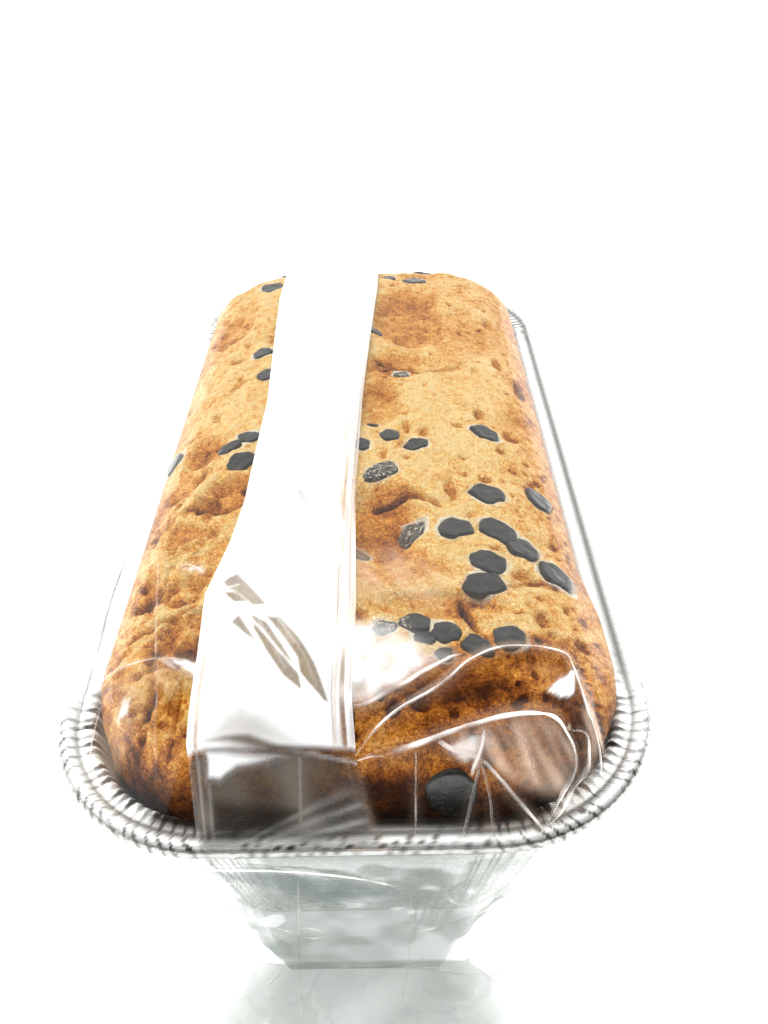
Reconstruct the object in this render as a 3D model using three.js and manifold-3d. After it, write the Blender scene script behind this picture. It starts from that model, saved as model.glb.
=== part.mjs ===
// A chocolate chip loaf cake in its foil tin, wrapped in clear film.
// Millimetres, +Z up. The loaf lies along Y, and the film under the middle of the tin is at the origin.
// The tin's foil and the film are thicker here than real foil and film, so that they are solids.

import * as THREE from 'three';
import { mergeVertices } from 'three/addons/utils/BufferGeometryUtils.js';
import Module from 'manifold-3d';

// Tin: an open tray with a flange that ends in a rolled bead, pleated at its round corners
const RIM_LENGTH = 216;
const RIM_WIDTH = 114;
const RIM_CORNER = 33;
const TIN_TOP = 62;
const BEAD_RADIUS = 1.6;
const FLANGE_DROP = 1.1;
const FLANGE_BREAK = 1;
const FOIL = 0.6;
const WALL_INSET = 7;
const BASE_INSET = 18;
const BASE_CORNER = 20;
const BASE_ROUND = 4;
const PLEAT_STEPS = 18;
const PLEAT_DEPTH = 0.45;
const PLEAT_FADE = 0.1;
const BASE_BREAK = { inset: 1, rise: 1.2 };
const MIN_CORNER = 8;
const SIDE_STEPS = 4;
const END_STEPS = 2;

// Film: the wrap, its seam folded flat along the top, and the two pressed ends on the table
const FILM = 0.7;
const GAP = 0.35;
const FILM_RISE = 2;
const FILM_SLACK = 0.7;
const RIM_ROLL = 1;
const RIM_ROLL_RISE = 0.85;
const NOSE_REACH = 100.5;
const NOSE_HALF = 22;
const NOSE_FADE = 34;
const FLAP_REACH = 130;
const FLAP_HALF_AT_NOSE = 21;
const FLAP_HALF_AT_END = 50;
const FLAP_SLOT = 0.6;
const FLAP_TUCK = 6;
const FLAP_TAPER = 3;
const FLAP_MOUTH = 2;
const SEAM_LEFT = -27;
const SEAM_RIGHT = 0;
const SEAM_RISE = 0.8;
const SEAM_ROOT = 1.05;
const SEAM_STEPS = 26;
const SEAM_END = { inset: 0.6, rise: 0.9 };

// Cake: what stands above the rim
const CAKE_INSET = 8.5;
const CAKE_EDGE = 64;
const SHOULDER_RISE = 13;
const SHOULDER_RUN = 26;
const SHOULDER_POWER = 2.2;
const SHOULDER_INSET = 2;
const DOME_RISE = 7;
const CAKE_CORNER = 26;
const WALL_GAP = 1.6;

// Lumps and hollows of the crust
const LUMP_PITCH = 21;
const LUMP_RADIUS = 16;
const LUMP_DEPTH = 2.4;
const LUMP_SCATTER = 0.6;
const EDGE_CALM = 9;
const SEED = 7;
// A hollow's floor is level as far as HOLLOW_FLOOR of its size and ends at HOLLOW_BRINK
const HOLLOW_FLOOR = 0.55;
const HOLLOW_BRINK = 1.05;
// Each hollow: x, y, half width, half length, depth
const HOLLOWS = [
  [14, 46, 13, 24, 3],
  [27, 38, 12, 20, 2],
  [11, 17, 9, 9, 2],
  [5, -4, 7, 11, 2.4],
  [6, -47, 9, 14, 3.4],
  [17, -69, 16, 4, 1.8],
  [-36, -15, 6, 7, 2.4],
  [-28, -34, 7, 8, 2.8],
  [-40, -24, 7, 8, 1.6],
  [-31, -74, 7, 7, 2.4],
  [-41, -59, 5, 6, 2.2],
  [-33, -62, 5, 4, 1.6],
  [24, -90, 20, 7, 1.4],
  [-14, 28, 10, 14, 2.6],
  [-12, 72, 12, 10, 2.4],
  [-38, 50, 8, 12, 2.2],
];

// Chocolate chips
const CHIP_RADIUS = 3.5;
const CHIP_RISE = 0.6;
const CHIP_ROOT = 2;
const CHIP_TOP_SHARE = 0.8;
const CHIP_SIDES = 8;
// Each chip: x, y, size, stretch, turn in degrees
const CHIPS = [
  [30.5, -13.5, 0.8, 1.35, 0],
  [29, -37, 0.9, 1.4, -5],
  [41, -33, 0.9, 1.35, -40],
  [21, -49, 0.95, 1.15, 0],
  [30, -48.5, 1, 1.2, -20],
  [34.5, -52.5, 1, 1.15, -40],
  [27, -58, 0.95, 1.15, 0],
  [25.5, -64, 0.95, 1.25, 20],
  [41, -57.5, 0.95, 1.35, -25],
  [12, -73.5, 0.75, 1.3, 0],
  [17.5, -76, 0.75, 1.2, -20],
  [23, -78.5, 0.7, 1.25, 0],
  [29, -76.5, 0.8, 1.25, 0],
  [13.5, -77, 0.45, 1.3, 0],
  [17, -80.5, 0.4, 1.3, 0],
  [6.5, -74.5, 0.5, 1.4, 0],
  [12, -48.5, 1.05, 0.9, 0],
  [6, -31.5, 0.75, 1.7, 35],
  [14, -21, 0.6, 1.4, 15],
  [8, -18, 0.6, 1.1, 0],
  [1.5, -21.5, 0.6, 1, 0],
  [4, -12.5, 0.45, 1, 0],
  [11.5, 12.5, 0.6, 1.1, 0],
  [4.5, 36.5, 0.6, 1, 0],
  [8.5, 83, 0.8, 1, 0],
  [17, 75, 0.95, 1.1, 0],
  [-29, 77, 1.05, 1.2, 10],
  [-26.5, 26.5, 0.75, 1.1, 30],
  [-24, 13.5, 0.7, 1, 0],
  [-25, -15, 0.6, 1.4, -10],
  [-29.5, -17.5, 0.55, 1.6, 0],
  [-26, -23, 0.8, 1.45, 0],
  [1.5, -55, 0.75, 1, 0],
  [-45, -12, 0.8, 1.2, 80],
  [-15, 50, 0.9, 1.1, 40],
  [-8, 14, 0.9, 1.2, 80],
  [-16, -8, 0.9, 1, 0],
  [-12, -40, 0.95, 1.2, 15],
  [-18, -62, 0.9, 1.1, 60],
  [-10, -76, 0.9, 1.2, -30],
  [-24, 90, 0.8, 1.1, 0],
  [20, 92, 0.8, 1.2, 20],
];
const FRONT_CHIP = { x: 17, z: 66.3, size: 1.3, sunk: 0.4 };

// Steps across and along the mapped top of each solid
const CAKE_GRID = [22, 46];
const FILM_GRID = [16, 30];
const CAVITY_GRID = [16, 30];

const wasm = await Module();
wasm.setup();

const rim = { x: RIM_WIDTH / 2, y: RIM_LENGTH / 2 };
const cakeEdge = { x: rim.x - CAKE_INSET, y: rim.y - CAKE_INSET };
const flangeTop = TIN_TOP - FLANGE_DROP;
const tinBase = FILM + GAP;

const clamp01 = (t) => Math.min(1, Math.max(0, t));

function smoothStep(from, to, value) {
  const t = clamp01((value - from) / (to - from));
  return t * t * (3 - 2 * t);
}

// A repeatable stream of numbers from 0 to 1
function randomStream(seed) {
  let state = seed;
  return () => {
    state = (state * 16807) % 2147483647;
    return state / 2147483647;
  };
}

// Rounded rectangles

function inset(half, by) {
  return { x: half.x - by, y: half.y - by };
}

// How far a point lies inside a rounded rectangle's edge
function depthInside(x, y, half, radius) {
  const qx = Math.abs(x) - half.x + radius;
  const qy = Math.abs(y) - half.y + radius;
  return radius - Math.hypot(Math.max(qx, 0), Math.max(qy, 0)) - Math.min(Math.max(qx, qy), 0);
}

// The outline's point for a point of the edge of a square from -1 to 1
function outlinePoint(u, v, half, radius) {
  const onEnd = Math.abs(v) >= Math.abs(u);
  const [along, across] = onEnd ? [half.x, half.y] : [half.y, half.x];
  const straight = along - radius;
  const reach = (onEnd ? u : v) * (straight + (radius * Math.PI) / 4);
  const turn = Math.max(0, Math.abs(reach) - straight) / radius;
  const far = Math.sign(reach) * (Math.min(Math.abs(reach), straight) + radius * Math.sin(turn));
  const out = Math.sign(onEnd ? v : u) * (across - radius + radius * Math.cos(turn));
  return onEnd ? [far, out] : [out, far];
}

// The outline shrunk towards its middle: what the inside of the square maps to
function insidePoint(u, v, half, radius) {
  const share = Math.max(Math.abs(u), Math.abs(v));
  if (share === 0) return [0, 0];
  const [x, y] = outlinePoint(u / share, v / share, half, radius);
  return [x * share, y * share];
}

// The points round a square grid's edge, anticlockwise, as [u, v]
function squareEdge([across, along]) {
  const points = [];
  for (let i = 0; i < across; i++) points.push([-1 + (2 * i) / across, -1]);
  for (let j = 0; j < along; j++) points.push([1, -1 + (2 * j) / along]);
  for (let i = across; i > 0; i--) points.push([-1 + (2 * i) / across, 1]);
  for (let j = along; j > 0; j--) points.push([-1, -1 + (2 * j) / along]);
  return points;
}

// Closed surfaces from rings of points

function ringBand(lower, upper, count, indices) {
  for (let n = 0; n < count; n++) {
    const next = (n + 1) % count;
    indices.push(lower + n, lower + next, upper + next, lower + n, upper + next, upper + n);
  }
}

function solidFrom(positions, indices) {
  const geometry = new THREE.BufferGeometry();
  geometry.setAttribute('position', new THREE.Float32BufferAttribute(positions.flat(), 3));
  geometry.setIndex(indices);
  return toSolid(geometry);
}

function toSolid(geometry) {
  const bare = geometry.clone();
  bare.deleteAttribute('normal');
  bare.deleteAttribute('uv');
  const merged = mergeVertices(bare, 1e-4);
  return new wasm.Manifold(
    new wasm.Mesh({
      numProp: 3,
      vertProperties: merged.attributes.position.array,
      triVerts: new Uint32Array(merged.index.array),
    }),
  );
}

// Rings joined from the first to the last, each end closed by a fan to its middle point
function loftSolid(rings, firstMiddle, lastMiddle) {
  const count = rings[0].length;
  const positions = [firstMiddle, ...rings.flat(), lastMiddle];
  const indices = [];
  const last = positions.length - 1;
  for (let n = 0; n < count; n++) {
    const next = (n + 1) % count;
    indices.push(0, 1 + next, 1 + n);
    indices.push(last, last - count + n, last - count + next);
  }
  for (let k = 0; k + 1 < rings.length; k++) ringBand(1 + k * count, 1 + (k + 1) * count, count, indices);
  return solidFrom(positions, indices);
}

// Rings that end at the edge of a mapped grid. sides are functions of (u, v), lowest first, and so is top.
function moundSolid(grid, bottomMiddle, sides, top) {
  const [across, along] = grid;
  const edge = squareEdge(grid);
  const count = edge.length;
  const positions = [bottomMiddle];
  const indices = [];
  for (const side of sides) for (const [u, v] of edge) positions.push(side(u, v));
  const firstTop = positions.length;
  const at = (i, j) => firstTop + j * (across + 1) + i;
  for (let j = 0; j <= along; j++) {
    for (let i = 0; i <= across; i++) positions.push(top(-1 + (2 * i) / across, -1 + (2 * j) / along));
  }
  for (let n = 0; n < count; n++) indices.push(0, 1 + ((n + 1) % count), 1 + n);
  for (let k = 0; k + 1 < sides.length; k++) ringBand(1 + k * count, 1 + (k + 1) * count, count, indices);
  const lastRing = 1 + (sides.length - 1) * count;
  const topEdge = edge.map(([u, v]) =>
    at(Math.round(((u + 1) * across) / 2), Math.round(((v + 1) * along) / 2)),
  );
  for (let n = 0; n < count; n++) {
    const next = (n + 1) % count;
    indices.push(lastRing + n, lastRing + next, topEdge[next], lastRing + n, topEdge[next], topEdge[n]);
  }
  for (let j = 0; j < along; j++) {
    for (let i = 0; i < across; i++) {
      const [a, b, c, d] = [at(i, j), at(i + 1, j), at(i + 1, j + 1), at(i, j + 1)];
      indices.push(...((i + j) % 2 ? [a, b, c, a, c, d] : [a, b, d, b, c, d]));
    }
  }
  return solidFrom(positions, indices);
}

// Tin

// A rounded rectangle's points with many steps round the corners. phase alternates along the corner's pleats.
function tinOutline(half, radius) {
  const points = [];
  const quarters = [[1, -1, 270], [1, 1, 0], [-1, 1, 90], [-1, -1, 180]];
  quarters.forEach(([sx, sy, from], q) => {
    const centre = [sx * (half.x - radius), sy * (half.y - radius)];
    for (let k = 0; k < PLEAT_STEPS; k++) {
      const angle = THREE.MathUtils.degToRad(from + (90 * k) / PLEAT_STEPS);
      const out = [Math.cos(angle), Math.sin(angle)];
      const phase = k === 0 ? 0 : k % 2 ? 1 : -1;
      points.push({ at: [centre[0] + radius * out[0], centre[1] + radius * out[1]], out, phase });
    }
    const end = THREE.MathUtils.degToRad(from + 90);
    const out = [Math.cos(end), Math.sin(end)];
    const start = [centre[0] + radius * out[0], centre[1] + radius * out[1]];
    const alongSide = q % 2 === 0;
    const steps = alongSide ? SIDE_STEPS : END_STEPS;
    const run = 2 * (alongSide ? half.y - radius : half.x - radius);
    const way = [-out[1], out[0]];
    for (let k = 0; k < steps; k++) {
      const reach = (run * k) / steps;
      points.push({ at: [start[0] + way[0] * reach, start[1] + way[1] * reach], out, phase: 0 });
    }
  });
  return points;
}

// One ring of the tin: inset from the rim's edge, height, and how deep its pleats press in and up
function tinRing(by, z, pleatIn, pleatUp) {
  const share = clamp01((by - WALL_INSET) / (BASE_INSET - WALL_INSET));
  const wallCorner = RIM_CORNER - WALL_INSET;
  const radius = by < WALL_INSET ? RIM_CORNER - by : wallCorner + (BASE_CORNER - wallCorner) * share;
  return tinOutline(inset(rim, by), Math.max(radius - Math.max(0, by - BASE_INSET), MIN_CORNER)).map(
    ({ at, out, phase }) => [
      at[0] - out[0] * phase * pleatIn,
      at[1] - out[1] * phase * pleatIn,
      z + phase * pleatUp,
    ],
  );
}

function tinSolid() {
  const beadZ = TIN_TOP - BEAD_RADIUS;
  const floor = tinBase + FOIL;
  const rings = [
    [BASE_INSET + BASE_ROUND, tinBase, 0, 0],
    [BASE_INSET + BASE_BREAK.inset, tinBase + BASE_BREAK.rise, 0, 0],
    [BASE_INSET, tinBase + BASE_ROUND, PLEAT_FADE, 0],
    [(BASE_INSET + WALL_INSET) / 2 - FOIL, (tinBase + flangeTop) / 2, PLEAT_DEPTH, 0],
    [WALL_INSET - FOIL, flangeTop - FOIL - FLANGE_BREAK, PLEAT_DEPTH, 0],
    [WALL_INSET - 2 * FOIL, flangeTop - FOIL, 0, PLEAT_DEPTH / 2],
    [2 * BEAD_RADIUS, flangeTop - FOIL, 0, PLEAT_DEPTH / 2],
  ];
  // The bead, from its inner side under and round to the flange
  for (const degrees of [190, 250, 310, 0, 50, 100]) {
    const angle = THREE.MathUtils.degToRad(degrees);
    rings.push([
      BEAD_RADIUS * (1 - Math.cos(angle)),
      beadZ + BEAD_RADIUS * Math.sin(angle),
      PLEAT_DEPTH / 3,
      0,
    ]);
  }
  rings.push(
    [2 * BEAD_RADIUS, flangeTop, 0, PLEAT_DEPTH / 2],
    [WALL_INSET - FOIL, flangeTop, 0, PLEAT_DEPTH / 2],
    [WALL_INSET, flangeTop - FLANGE_BREAK, PLEAT_DEPTH, 0],
    [(BASE_INSET + WALL_INSET) / 2, (tinBase + flangeTop) / 2 + FOIL, PLEAT_DEPTH, 0],
    [BASE_INSET + FOIL, floor + BASE_ROUND, PLEAT_FADE, 0],
    [BASE_INSET + FOIL + BASE_BREAK.inset, floor + BASE_BREAK.rise, 0, 0],
    [BASE_INSET + BASE_ROUND, floor, 0, 0],
  );
  return loftSolid(
    rings.map((ring) => tinRing(...ring)),
    [0, 0, tinBase],
    [0, 0, floor],
  );
}

// Cake

// The smooth height that the crust's lumps reach up to
function crownHeight(x, y) {
  const run = clamp01(depthInside(x, y, cakeEdge, CAKE_CORNER) / SHOULDER_RUN);
  const shoulder = (1 - (1 - run) ** SHOULDER_POWER) ** (1 / SHOULDER_POWER);
  const dome = Math.max(0, 1 - (x / cakeEdge.x) ** 2) * Math.max(0, 1 - (y / cakeEdge.y) ** 2);
  return CAKE_EDGE + SHOULDER_RISE * shoulder + DOME_RISE * dome;
}

function lumpCentres() {
  const random = randomStream(SEED);
  const centres = [];
  const rows = Math.ceil((2 * cakeEdge.y) / LUMP_PITCH);
  for (let row = 0; row <= rows; row++) {
    for (let column = -2; column <= 2; column++) {
      const x = (column + (row % 2) / 2 + (random() - 0.5) * LUMP_SCATTER) * LUMP_PITCH;
      const y = -cakeEdge.y + (row + (random() - 0.5) * LUMP_SCATTER) * LUMP_PITCH;
      centres.push([x, y, LUMP_RADIUS * (0.85 + 0.4 * random())]);
    }
  }
  return centres;
}

const lumps = lumpCentres();

// How far the crust lies under the crown: between lumps, and in the hollows
function crustDrop(x, y) {
  const between = Math.min(1, ...lumps.map(([cx, cy, r]) => ((x - cx) ** 2 + (y - cy) ** 2) / r ** 2));
  let drop = LUMP_DEPTH * between ** 2;
  for (const [cx, cy, rx, ry, depth] of HOLLOWS) {
    const reach = Math.hypot((x - cx) / rx, (y - cy) / ry);
    drop = Math.max(drop, depth * (1 - smoothStep(HOLLOW_FLOOR, HOLLOW_BRINK, reach)));
  }
  const edge = depthInside(x, y, cakeEdge, CAKE_CORNER);
  return drop * smoothStep(0, EDGE_CALM, edge);
}

const crustHeight = (x, y) => crownHeight(x, y) - crustDrop(x, y);

function crustNormal(x, y) {
  const step = 1.5;
  const slopeX = (crustHeight(x + step, y) - crustHeight(x - step, y)) / (2 * step);
  const slopeY = (crustHeight(x, y + step) - crustHeight(x, y - step)) / (2 * step);
  return new THREE.Vector3(-slopeX, -slopeY, 1).normalize();
}

// A flat-topped drop of chocolate, its middle at the origin and its top just over z = 0
function chipSolid(place, normal, size, stretch, degrees) {
  const profile = [
    [0, -CHIP_ROOT],
    [1, -CHIP_RISE],
    [CHIP_TOP_SHARE, CHIP_RISE * 0.9],
    [0, CHIP_RISE],
  ].map(([share, z]) => new THREE.Vector2(share * CHIP_RADIUS * size, z));
  const geometry = new THREE.LatheGeometry(profile, CHIP_SIDES);
  geometry.rotateX(Math.PI / 2);
  geometry.scale(stretch, 1, 1);
  geometry.rotateZ(THREE.MathUtils.degToRad(degrees));
  geometry.applyQuaternion(new THREE.Quaternion().setFromUnitVectors(new THREE.Vector3(0, 0, 1), normal));
  geometry.translate(...place);
  return toSolid(geometry);
}

function cakeSolid() {
  const floor = tinBase + FOIL + GAP;
  const ring = (by, radius, z) => (u, v) => [...outlinePoint(u, v, inset(rim, by), radius), z];
  const cake = moundSolid(
    CAKE_GRID,
    [0, 0, floor],
    [
      ring(BASE_INSET + BASE_ROUND, BASE_CORNER - 2, floor),
      ring(BASE_INSET + WALL_GAP, BASE_CORNER, floor + BASE_ROUND + 1),
      ring(WALL_INSET + WALL_GAP, CAKE_CORNER - WALL_GAP, flangeTop - 3),
    ],
    (u, v) => {
      const [x, y] = insidePoint(u, v, cakeEdge, CAKE_CORNER);
      return [x, y, crustHeight(x, y)];
    },
  );
  const chips = CHIPS.map(([x, y, size, stretch, degrees]) =>
    chipSolid([x, y, crustHeight(x, y)], crustNormal(x, y), size, stretch, degrees),
  );
  const { x, z, size, sunk } = FRONT_CHIP;
  const towardsFront = new THREE.Vector3(0, -1, 0.25).normalize();
  chips.push(chipSolid([x, sunk - cakeEdge.y, z], towardsFront, size, 1, 0));
  return chips.reduce((whole, chip) => whole.add(chip), cake);
}

// Film

// The wrap's outline on the table: the tin's base, drawn out to a nose at each end where the sides fold in
function tableOutline(u, v, out) {
  const [x, y] = outlinePoint(u, v, inset(rim, BASE_INSET - out), BASE_CORNER);
  const [rimX] = outlinePoint(u, v, rim, RIM_CORNER);
  const nose = 1 - smoothStep(NOSE_HALF, NOSE_FADE, Math.abs(rimX));
  const reach = Math.abs(v) === 1 ? nose * (NOSE_REACH + out - Math.abs(y)) : 0;
  return [x, y + Math.sign(y) * reach];
}

// The wrap's closed form at a distance outside what it holds: 0 is the cavity, FILM the outside
function wrapForm(grid, out) {
  const outer = FILM_SLACK + out;
  const shoulder = inset(cakeEdge, SHOULDER_INSET);
  const rimRing = (by, z) => (u, v) => [
    ...outlinePoint(u, v, inset(rim, by - outer), RIM_CORNER - by + outer),
    z,
  ];
  return moundSolid(
    grid,
    [0, 0, FILM - out],
    [
      (u, v) => [...tableOutline(u, v, outer), FILM - out],
      rimRing(0, TIN_TOP - 2 * BEAD_RADIUS),
      rimRing(0, TIN_TOP - BEAD_RADIUS / 2),
      rimRing(RIM_ROLL, TIN_TOP + outer * RIM_ROLL_RISE),
    ],
    (u, v) => {
      const [x, y] = insidePoint(u, v, shoulder, CAKE_CORNER - SHOULDER_INSET);
      const grow = 1 + out / shoulder.x;
      return [x * grow, y * grow, crownHeight(x, y) + FILM_RISE + out];
    },
  );
}

// A pressed end of the wrap on the table, from its nose outwards. side is -1 at the front and 1 at the back.
function flapSolid(side, low, high, reach, spare) {
  const start = NOSE_REACH - FLAP_TUCK;
  const spread = (FLAP_HALF_AT_END - FLAP_HALF_AT_NOSE) / (FLAP_REACH - NOSE_REACH);
  const halfAtStart = FLAP_HALF_AT_NOSE - FLAP_TAPER - spare;
  const shape = new THREE.Shape();
  shape.moveTo(-halfAtStart, side * start);
  shape.lineTo(-FLAP_HALF_AT_NOSE + spare, side * NOSE_REACH);
  shape.lineTo(-FLAP_HALF_AT_NOSE + spare - spread * (reach - NOSE_REACH), side * reach);
  shape.lineTo(FLAP_HALF_AT_NOSE - spare + spread * (reach - NOSE_REACH), side * reach);
  shape.lineTo(FLAP_HALF_AT_NOSE - spare, side * NOSE_REACH);
  shape.lineTo(halfAtStart, side * start);
  shape.closePath();
  const geometry = new THREE.ExtrudeGeometry(shape, { depth: high - low, bevelEnabled: false });
  geometry.translate(0, 0, low);
  return toSolid(geometry);
}

// The seam: a band along the top that goes down over each end to the rim
function seamSolid() {
  const middle = (SEAM_LEFT + SEAM_RIGHT) / 2;
  const lift = FILM_RISE + FILM;
  const crestY = cakeEdge.y - SHOULDER_INSET;
  const endHeight = TIN_TOP + SEAM_END.rise;
  const stations = [[rim.y - SEAM_END.inset, endHeight]];
  for (let k = 0; k <= SEAM_STEPS; k++) stations.push([crestY * (1 - (2 * k) / SEAM_STEPS), null]);
  stations.push([SEAM_END.inset - rim.y, endHeight]);
  const rowAt = (rise) => ([y, fixed]) =>
    [SEAM_LEFT, middle, SEAM_RIGHT].map((x) => [x, y, (fixed ?? crownHeight(x, y) + lift) + rise]);
  const upper = stations.map(rowAt(SEAM_RISE));
  const lower = stations.map(rowAt(-SEAM_ROOT));
  const rings = lower.map((row, k) => [...row, ...upper[k].slice().reverse()]);
  const middleOf = (ring) => ring.reduce((sum, p) => sum.map((s, i) => s + p[i] / ring.length), [0, 0, 0]);
  return loftSolid(rings, middleOf(rings[0]), middleOf(rings[rings.length - 1]));
}

function wrapSolid() {
  const flapTop = FLAP_SLOT + 2 * FILM;
  let outside = wrapForm(FILM_GRID, FILM).add(seamSolid());
  let cavity = wrapForm(CAVITY_GRID, 0);
  for (const side of [-1, 1]) {
    outside = outside.add(flapSolid(side, 0, flapTop, FLAP_REACH, 0));
    cavity = cavity.add(flapSolid(side, FILM, FILM + FLAP_SLOT, FLAP_REACH + FLAP_MOUTH, FLAP_MOUTH));
  }
  return outside.subtract(cavity);
}

// The finished object

function meshFrom(solid, name, material) {
  const { numProp, vertProperties, triVerts } = solid.getMesh();
  if (numProp !== 3) throw new Error(`${name}: positions only`);
  const geometry = new THREE.BufferGeometry();
  geometry.setAttribute('position', new THREE.BufferAttribute(new Float32Array(vertProperties), 3));
  geometry.setIndex(new THREE.BufferAttribute(new Uint32Array(triVerts), 1));
  geometry.computeVertexNormals();
  const mesh = new THREE.Mesh(geometry, material);
  mesh.name = name;
  return mesh;
}

const plain = (settings) => new THREE.MeshStandardMaterial({ flatShading: true, ...settings });
const foil = plain({ color: 0xd4d6d6, roughness: 0.25, metalness: 1 });
const crust = plain({ color: 0xc98a45, roughness: 0.75, metalness: 0 });
const film = plain({ color: 0xf4f6f6, roughness: 0.06, metalness: 0, transparent: true, opacity: 0.25 });

const loaf = new THREE.Group();
loaf.add(
  meshFrom(tinSolid(), 'foil_tin', foil),
  meshFrom(cakeSolid(), 'cake', crust),
  meshFrom(wrapSolid(), 'film_wrap', film),
);

export default loaf;
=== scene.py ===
"""A chocolate chip loaf cake in its foil tin, wrapped in clear film, on a pale table.

Shapes are worked out in millimetres and scaled to metres when each piece is finished.
"""

import math
import random

import bmesh
import bpy
import numpy as np
from mathutils import Matrix, Vector, noise


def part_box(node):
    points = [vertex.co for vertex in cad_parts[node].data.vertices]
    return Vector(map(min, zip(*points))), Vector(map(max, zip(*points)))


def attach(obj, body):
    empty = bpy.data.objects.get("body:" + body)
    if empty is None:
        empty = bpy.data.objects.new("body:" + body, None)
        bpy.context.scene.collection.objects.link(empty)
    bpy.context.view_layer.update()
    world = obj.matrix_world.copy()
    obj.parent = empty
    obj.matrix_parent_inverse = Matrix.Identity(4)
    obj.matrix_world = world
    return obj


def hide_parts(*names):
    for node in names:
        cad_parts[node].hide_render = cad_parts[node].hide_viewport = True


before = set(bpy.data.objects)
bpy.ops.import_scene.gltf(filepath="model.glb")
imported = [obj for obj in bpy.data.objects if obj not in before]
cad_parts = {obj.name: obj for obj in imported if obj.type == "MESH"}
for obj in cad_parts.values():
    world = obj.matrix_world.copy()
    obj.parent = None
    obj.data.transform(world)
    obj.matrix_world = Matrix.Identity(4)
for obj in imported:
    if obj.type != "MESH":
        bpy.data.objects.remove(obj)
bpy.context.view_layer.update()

MM = 0.001

# Sizes taken from the frame: half widths of the tin's rim and of the cake where it leaves the tin
tin_low, tin_high = (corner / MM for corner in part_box("foil_tin"))
cake_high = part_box("cake")[1] / MM
wrap_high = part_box("film_wrap")[1] / MM
RIM = (tin_high.x, tin_high.y)
CAKE = (cake_high.x, cake_high.y)
TIN_TOP = tin_high.z
TIN_BASE = tin_low.z

# Tin
RIM_CORNER = 33
WALL_INSET = 7
BASE_INSET = 18
BASE_CORNER = 20
BASE_ROUND = 4
FOIL = 0.22
BEAD = 1.6
FLANGE = TIN_TOP - 1.1
CRIMP_PITCH = 2.3
BEAD_MARK_PITCH = 2.5

# Cake
CAKE_CORNER = 26
CAKE_EDGE = 64
SHOULDER_RISE = 13
SHOULDER_RUN = 26
SHOULDER_POWER = 2.2
DOME_RISE = 7
CRUST_DROP = 0.35
RIGHT_BULGE = 2.0
LUMP_PITCH = 21
LUMP_RADIUS = 16
LUMP_DEPTH = 2.4
LUMP_SEED = 7

# Film
FILM_LIFT = 1.0
SHOULDER_INSET = 2
RIM_REACH = RIM[0] - CAKE[0]
FILM_OUTSIDE = 0.35
NOSE_REACH = 100.5
NOSE_HALF = 25
FLAP_REACH = wrap_high.y
FLAP_SPREAD = 27
# Where the seam folds down over the near end
SEAM_FOLD = (-96.4, -97.2)


# Numbers for whole arrays of points

def smooth(low, high, value):
    t = np.clip((value - low) / (high - low), 0, 1)
    return t * t * (3 - 2 * t)


def cloud(x, y, size, z=0.0):
    """Smooth noise from about -1 to 1, with hills about size across."""
    z = np.broadcast_to(z, np.shape(x))
    return np.array([noise.noise(Vector(p)) for p in zip(x / size, y / size, z / size)])


def creased(x, y, size, z=0.0):
    """Noise with sharp ridges at 1, as in crumpled foil or film."""
    return 1 - 2 * np.abs(cloud(x, y, size, z))


def rough(x, y, size, z=0.0):
    """Three octaves of noise."""
    return (
        cloud(x, y, size, z)
        + 0.5 * cloud(x, y, size / 2.1, z + 7.7)
        + 0.25 * cloud(x, y, size / 4.3, z + 13.1)
    )


def depth_inside(x, y, half, radius):
    """How far points lie inside the edge of a rounded rectangle."""
    qx = np.abs(x) - half[0] + radius
    qy = np.abs(y) - half[1] + radius
    outside = np.hypot(np.maximum(qx, 0), np.maximum(qy, 0))
    return radius - outside - np.minimum(np.maximum(qx, qy), 0)


def outline(u, v, half, radius):
    """Points of a rounded rectangle's edge for points of the edge of a square from -1 to 1."""
    on_end = np.abs(v) >= np.abs(u)
    along = np.where(on_end, half[0], half[1])
    across = np.where(on_end, half[1], half[0])
    straight = along - radius
    reach = np.where(on_end, u, v) * (straight + radius * math.pi / 4)
    turn = np.maximum(0, np.abs(reach) - straight) / radius
    far = np.sign(reach) * (np.minimum(np.abs(reach), straight) + radius * np.sin(turn))
    out = np.sign(np.where(on_end, v, u)) * (across - radius + radius * np.cos(turn))
    return np.where(on_end, far, out), np.where(on_end, out, far)


def inside(u, v, half, radius):
    """The same for points inside the square: its outline shrunk towards the middle."""
    share = np.maximum(np.maximum(np.abs(u), np.abs(v)), 1e-9)
    x, y = outline(u / share, v / share, half, radius)
    return x * share, y * share


def inset(half, by):
    return half[0] - by, half[1] - by


def along_line(x, y, line):
    """Distance from points to a broken line, and how far along it, from 0 to 1, the nearest place is."""
    best = np.full(np.shape(x), 1e9)
    place = np.zeros(np.shape(x))
    steps = [math.dist(a, b) for a, b in zip(line, line[1:])]
    total, gone = sum(steps), 0
    for (ax, ay), (bx, by), step in zip(line, line[1:], steps):
        t = np.clip(((x - ax) * (bx - ax) + (y - ay) * (by - ay)) / step**2, 0, 1)
        far = np.hypot(x - ax - t * (bx - ax), y - ay - t * (by - ay))
        place = np.where(far < best, (gone + t * step) / total, place)
        best = np.minimum(best, far)
        gone += step
    return best, place


def curve(line):
    """Points of a smooth curve through a broken line's corners."""
    corners = np.array(line, float)
    ends = np.vstack([2 * corners[0] - corners[1], corners, 2 * corners[-1] - corners[-2]])
    t = np.linspace(0, 1, 10, endpoint=False)[:, None]
    parts = [
        0.5 * (2 * b + (c - a) * t + (2 * a - 5 * b + 4 * c - d) * t**2 + (3 * b - a - 3 * c + d) * t**3)
        for a, b, c, d in zip(ends, ends[1:], ends[2:], ends[3:])
    ]
    return np.vstack([*parts, corners[-1:]])


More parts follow.
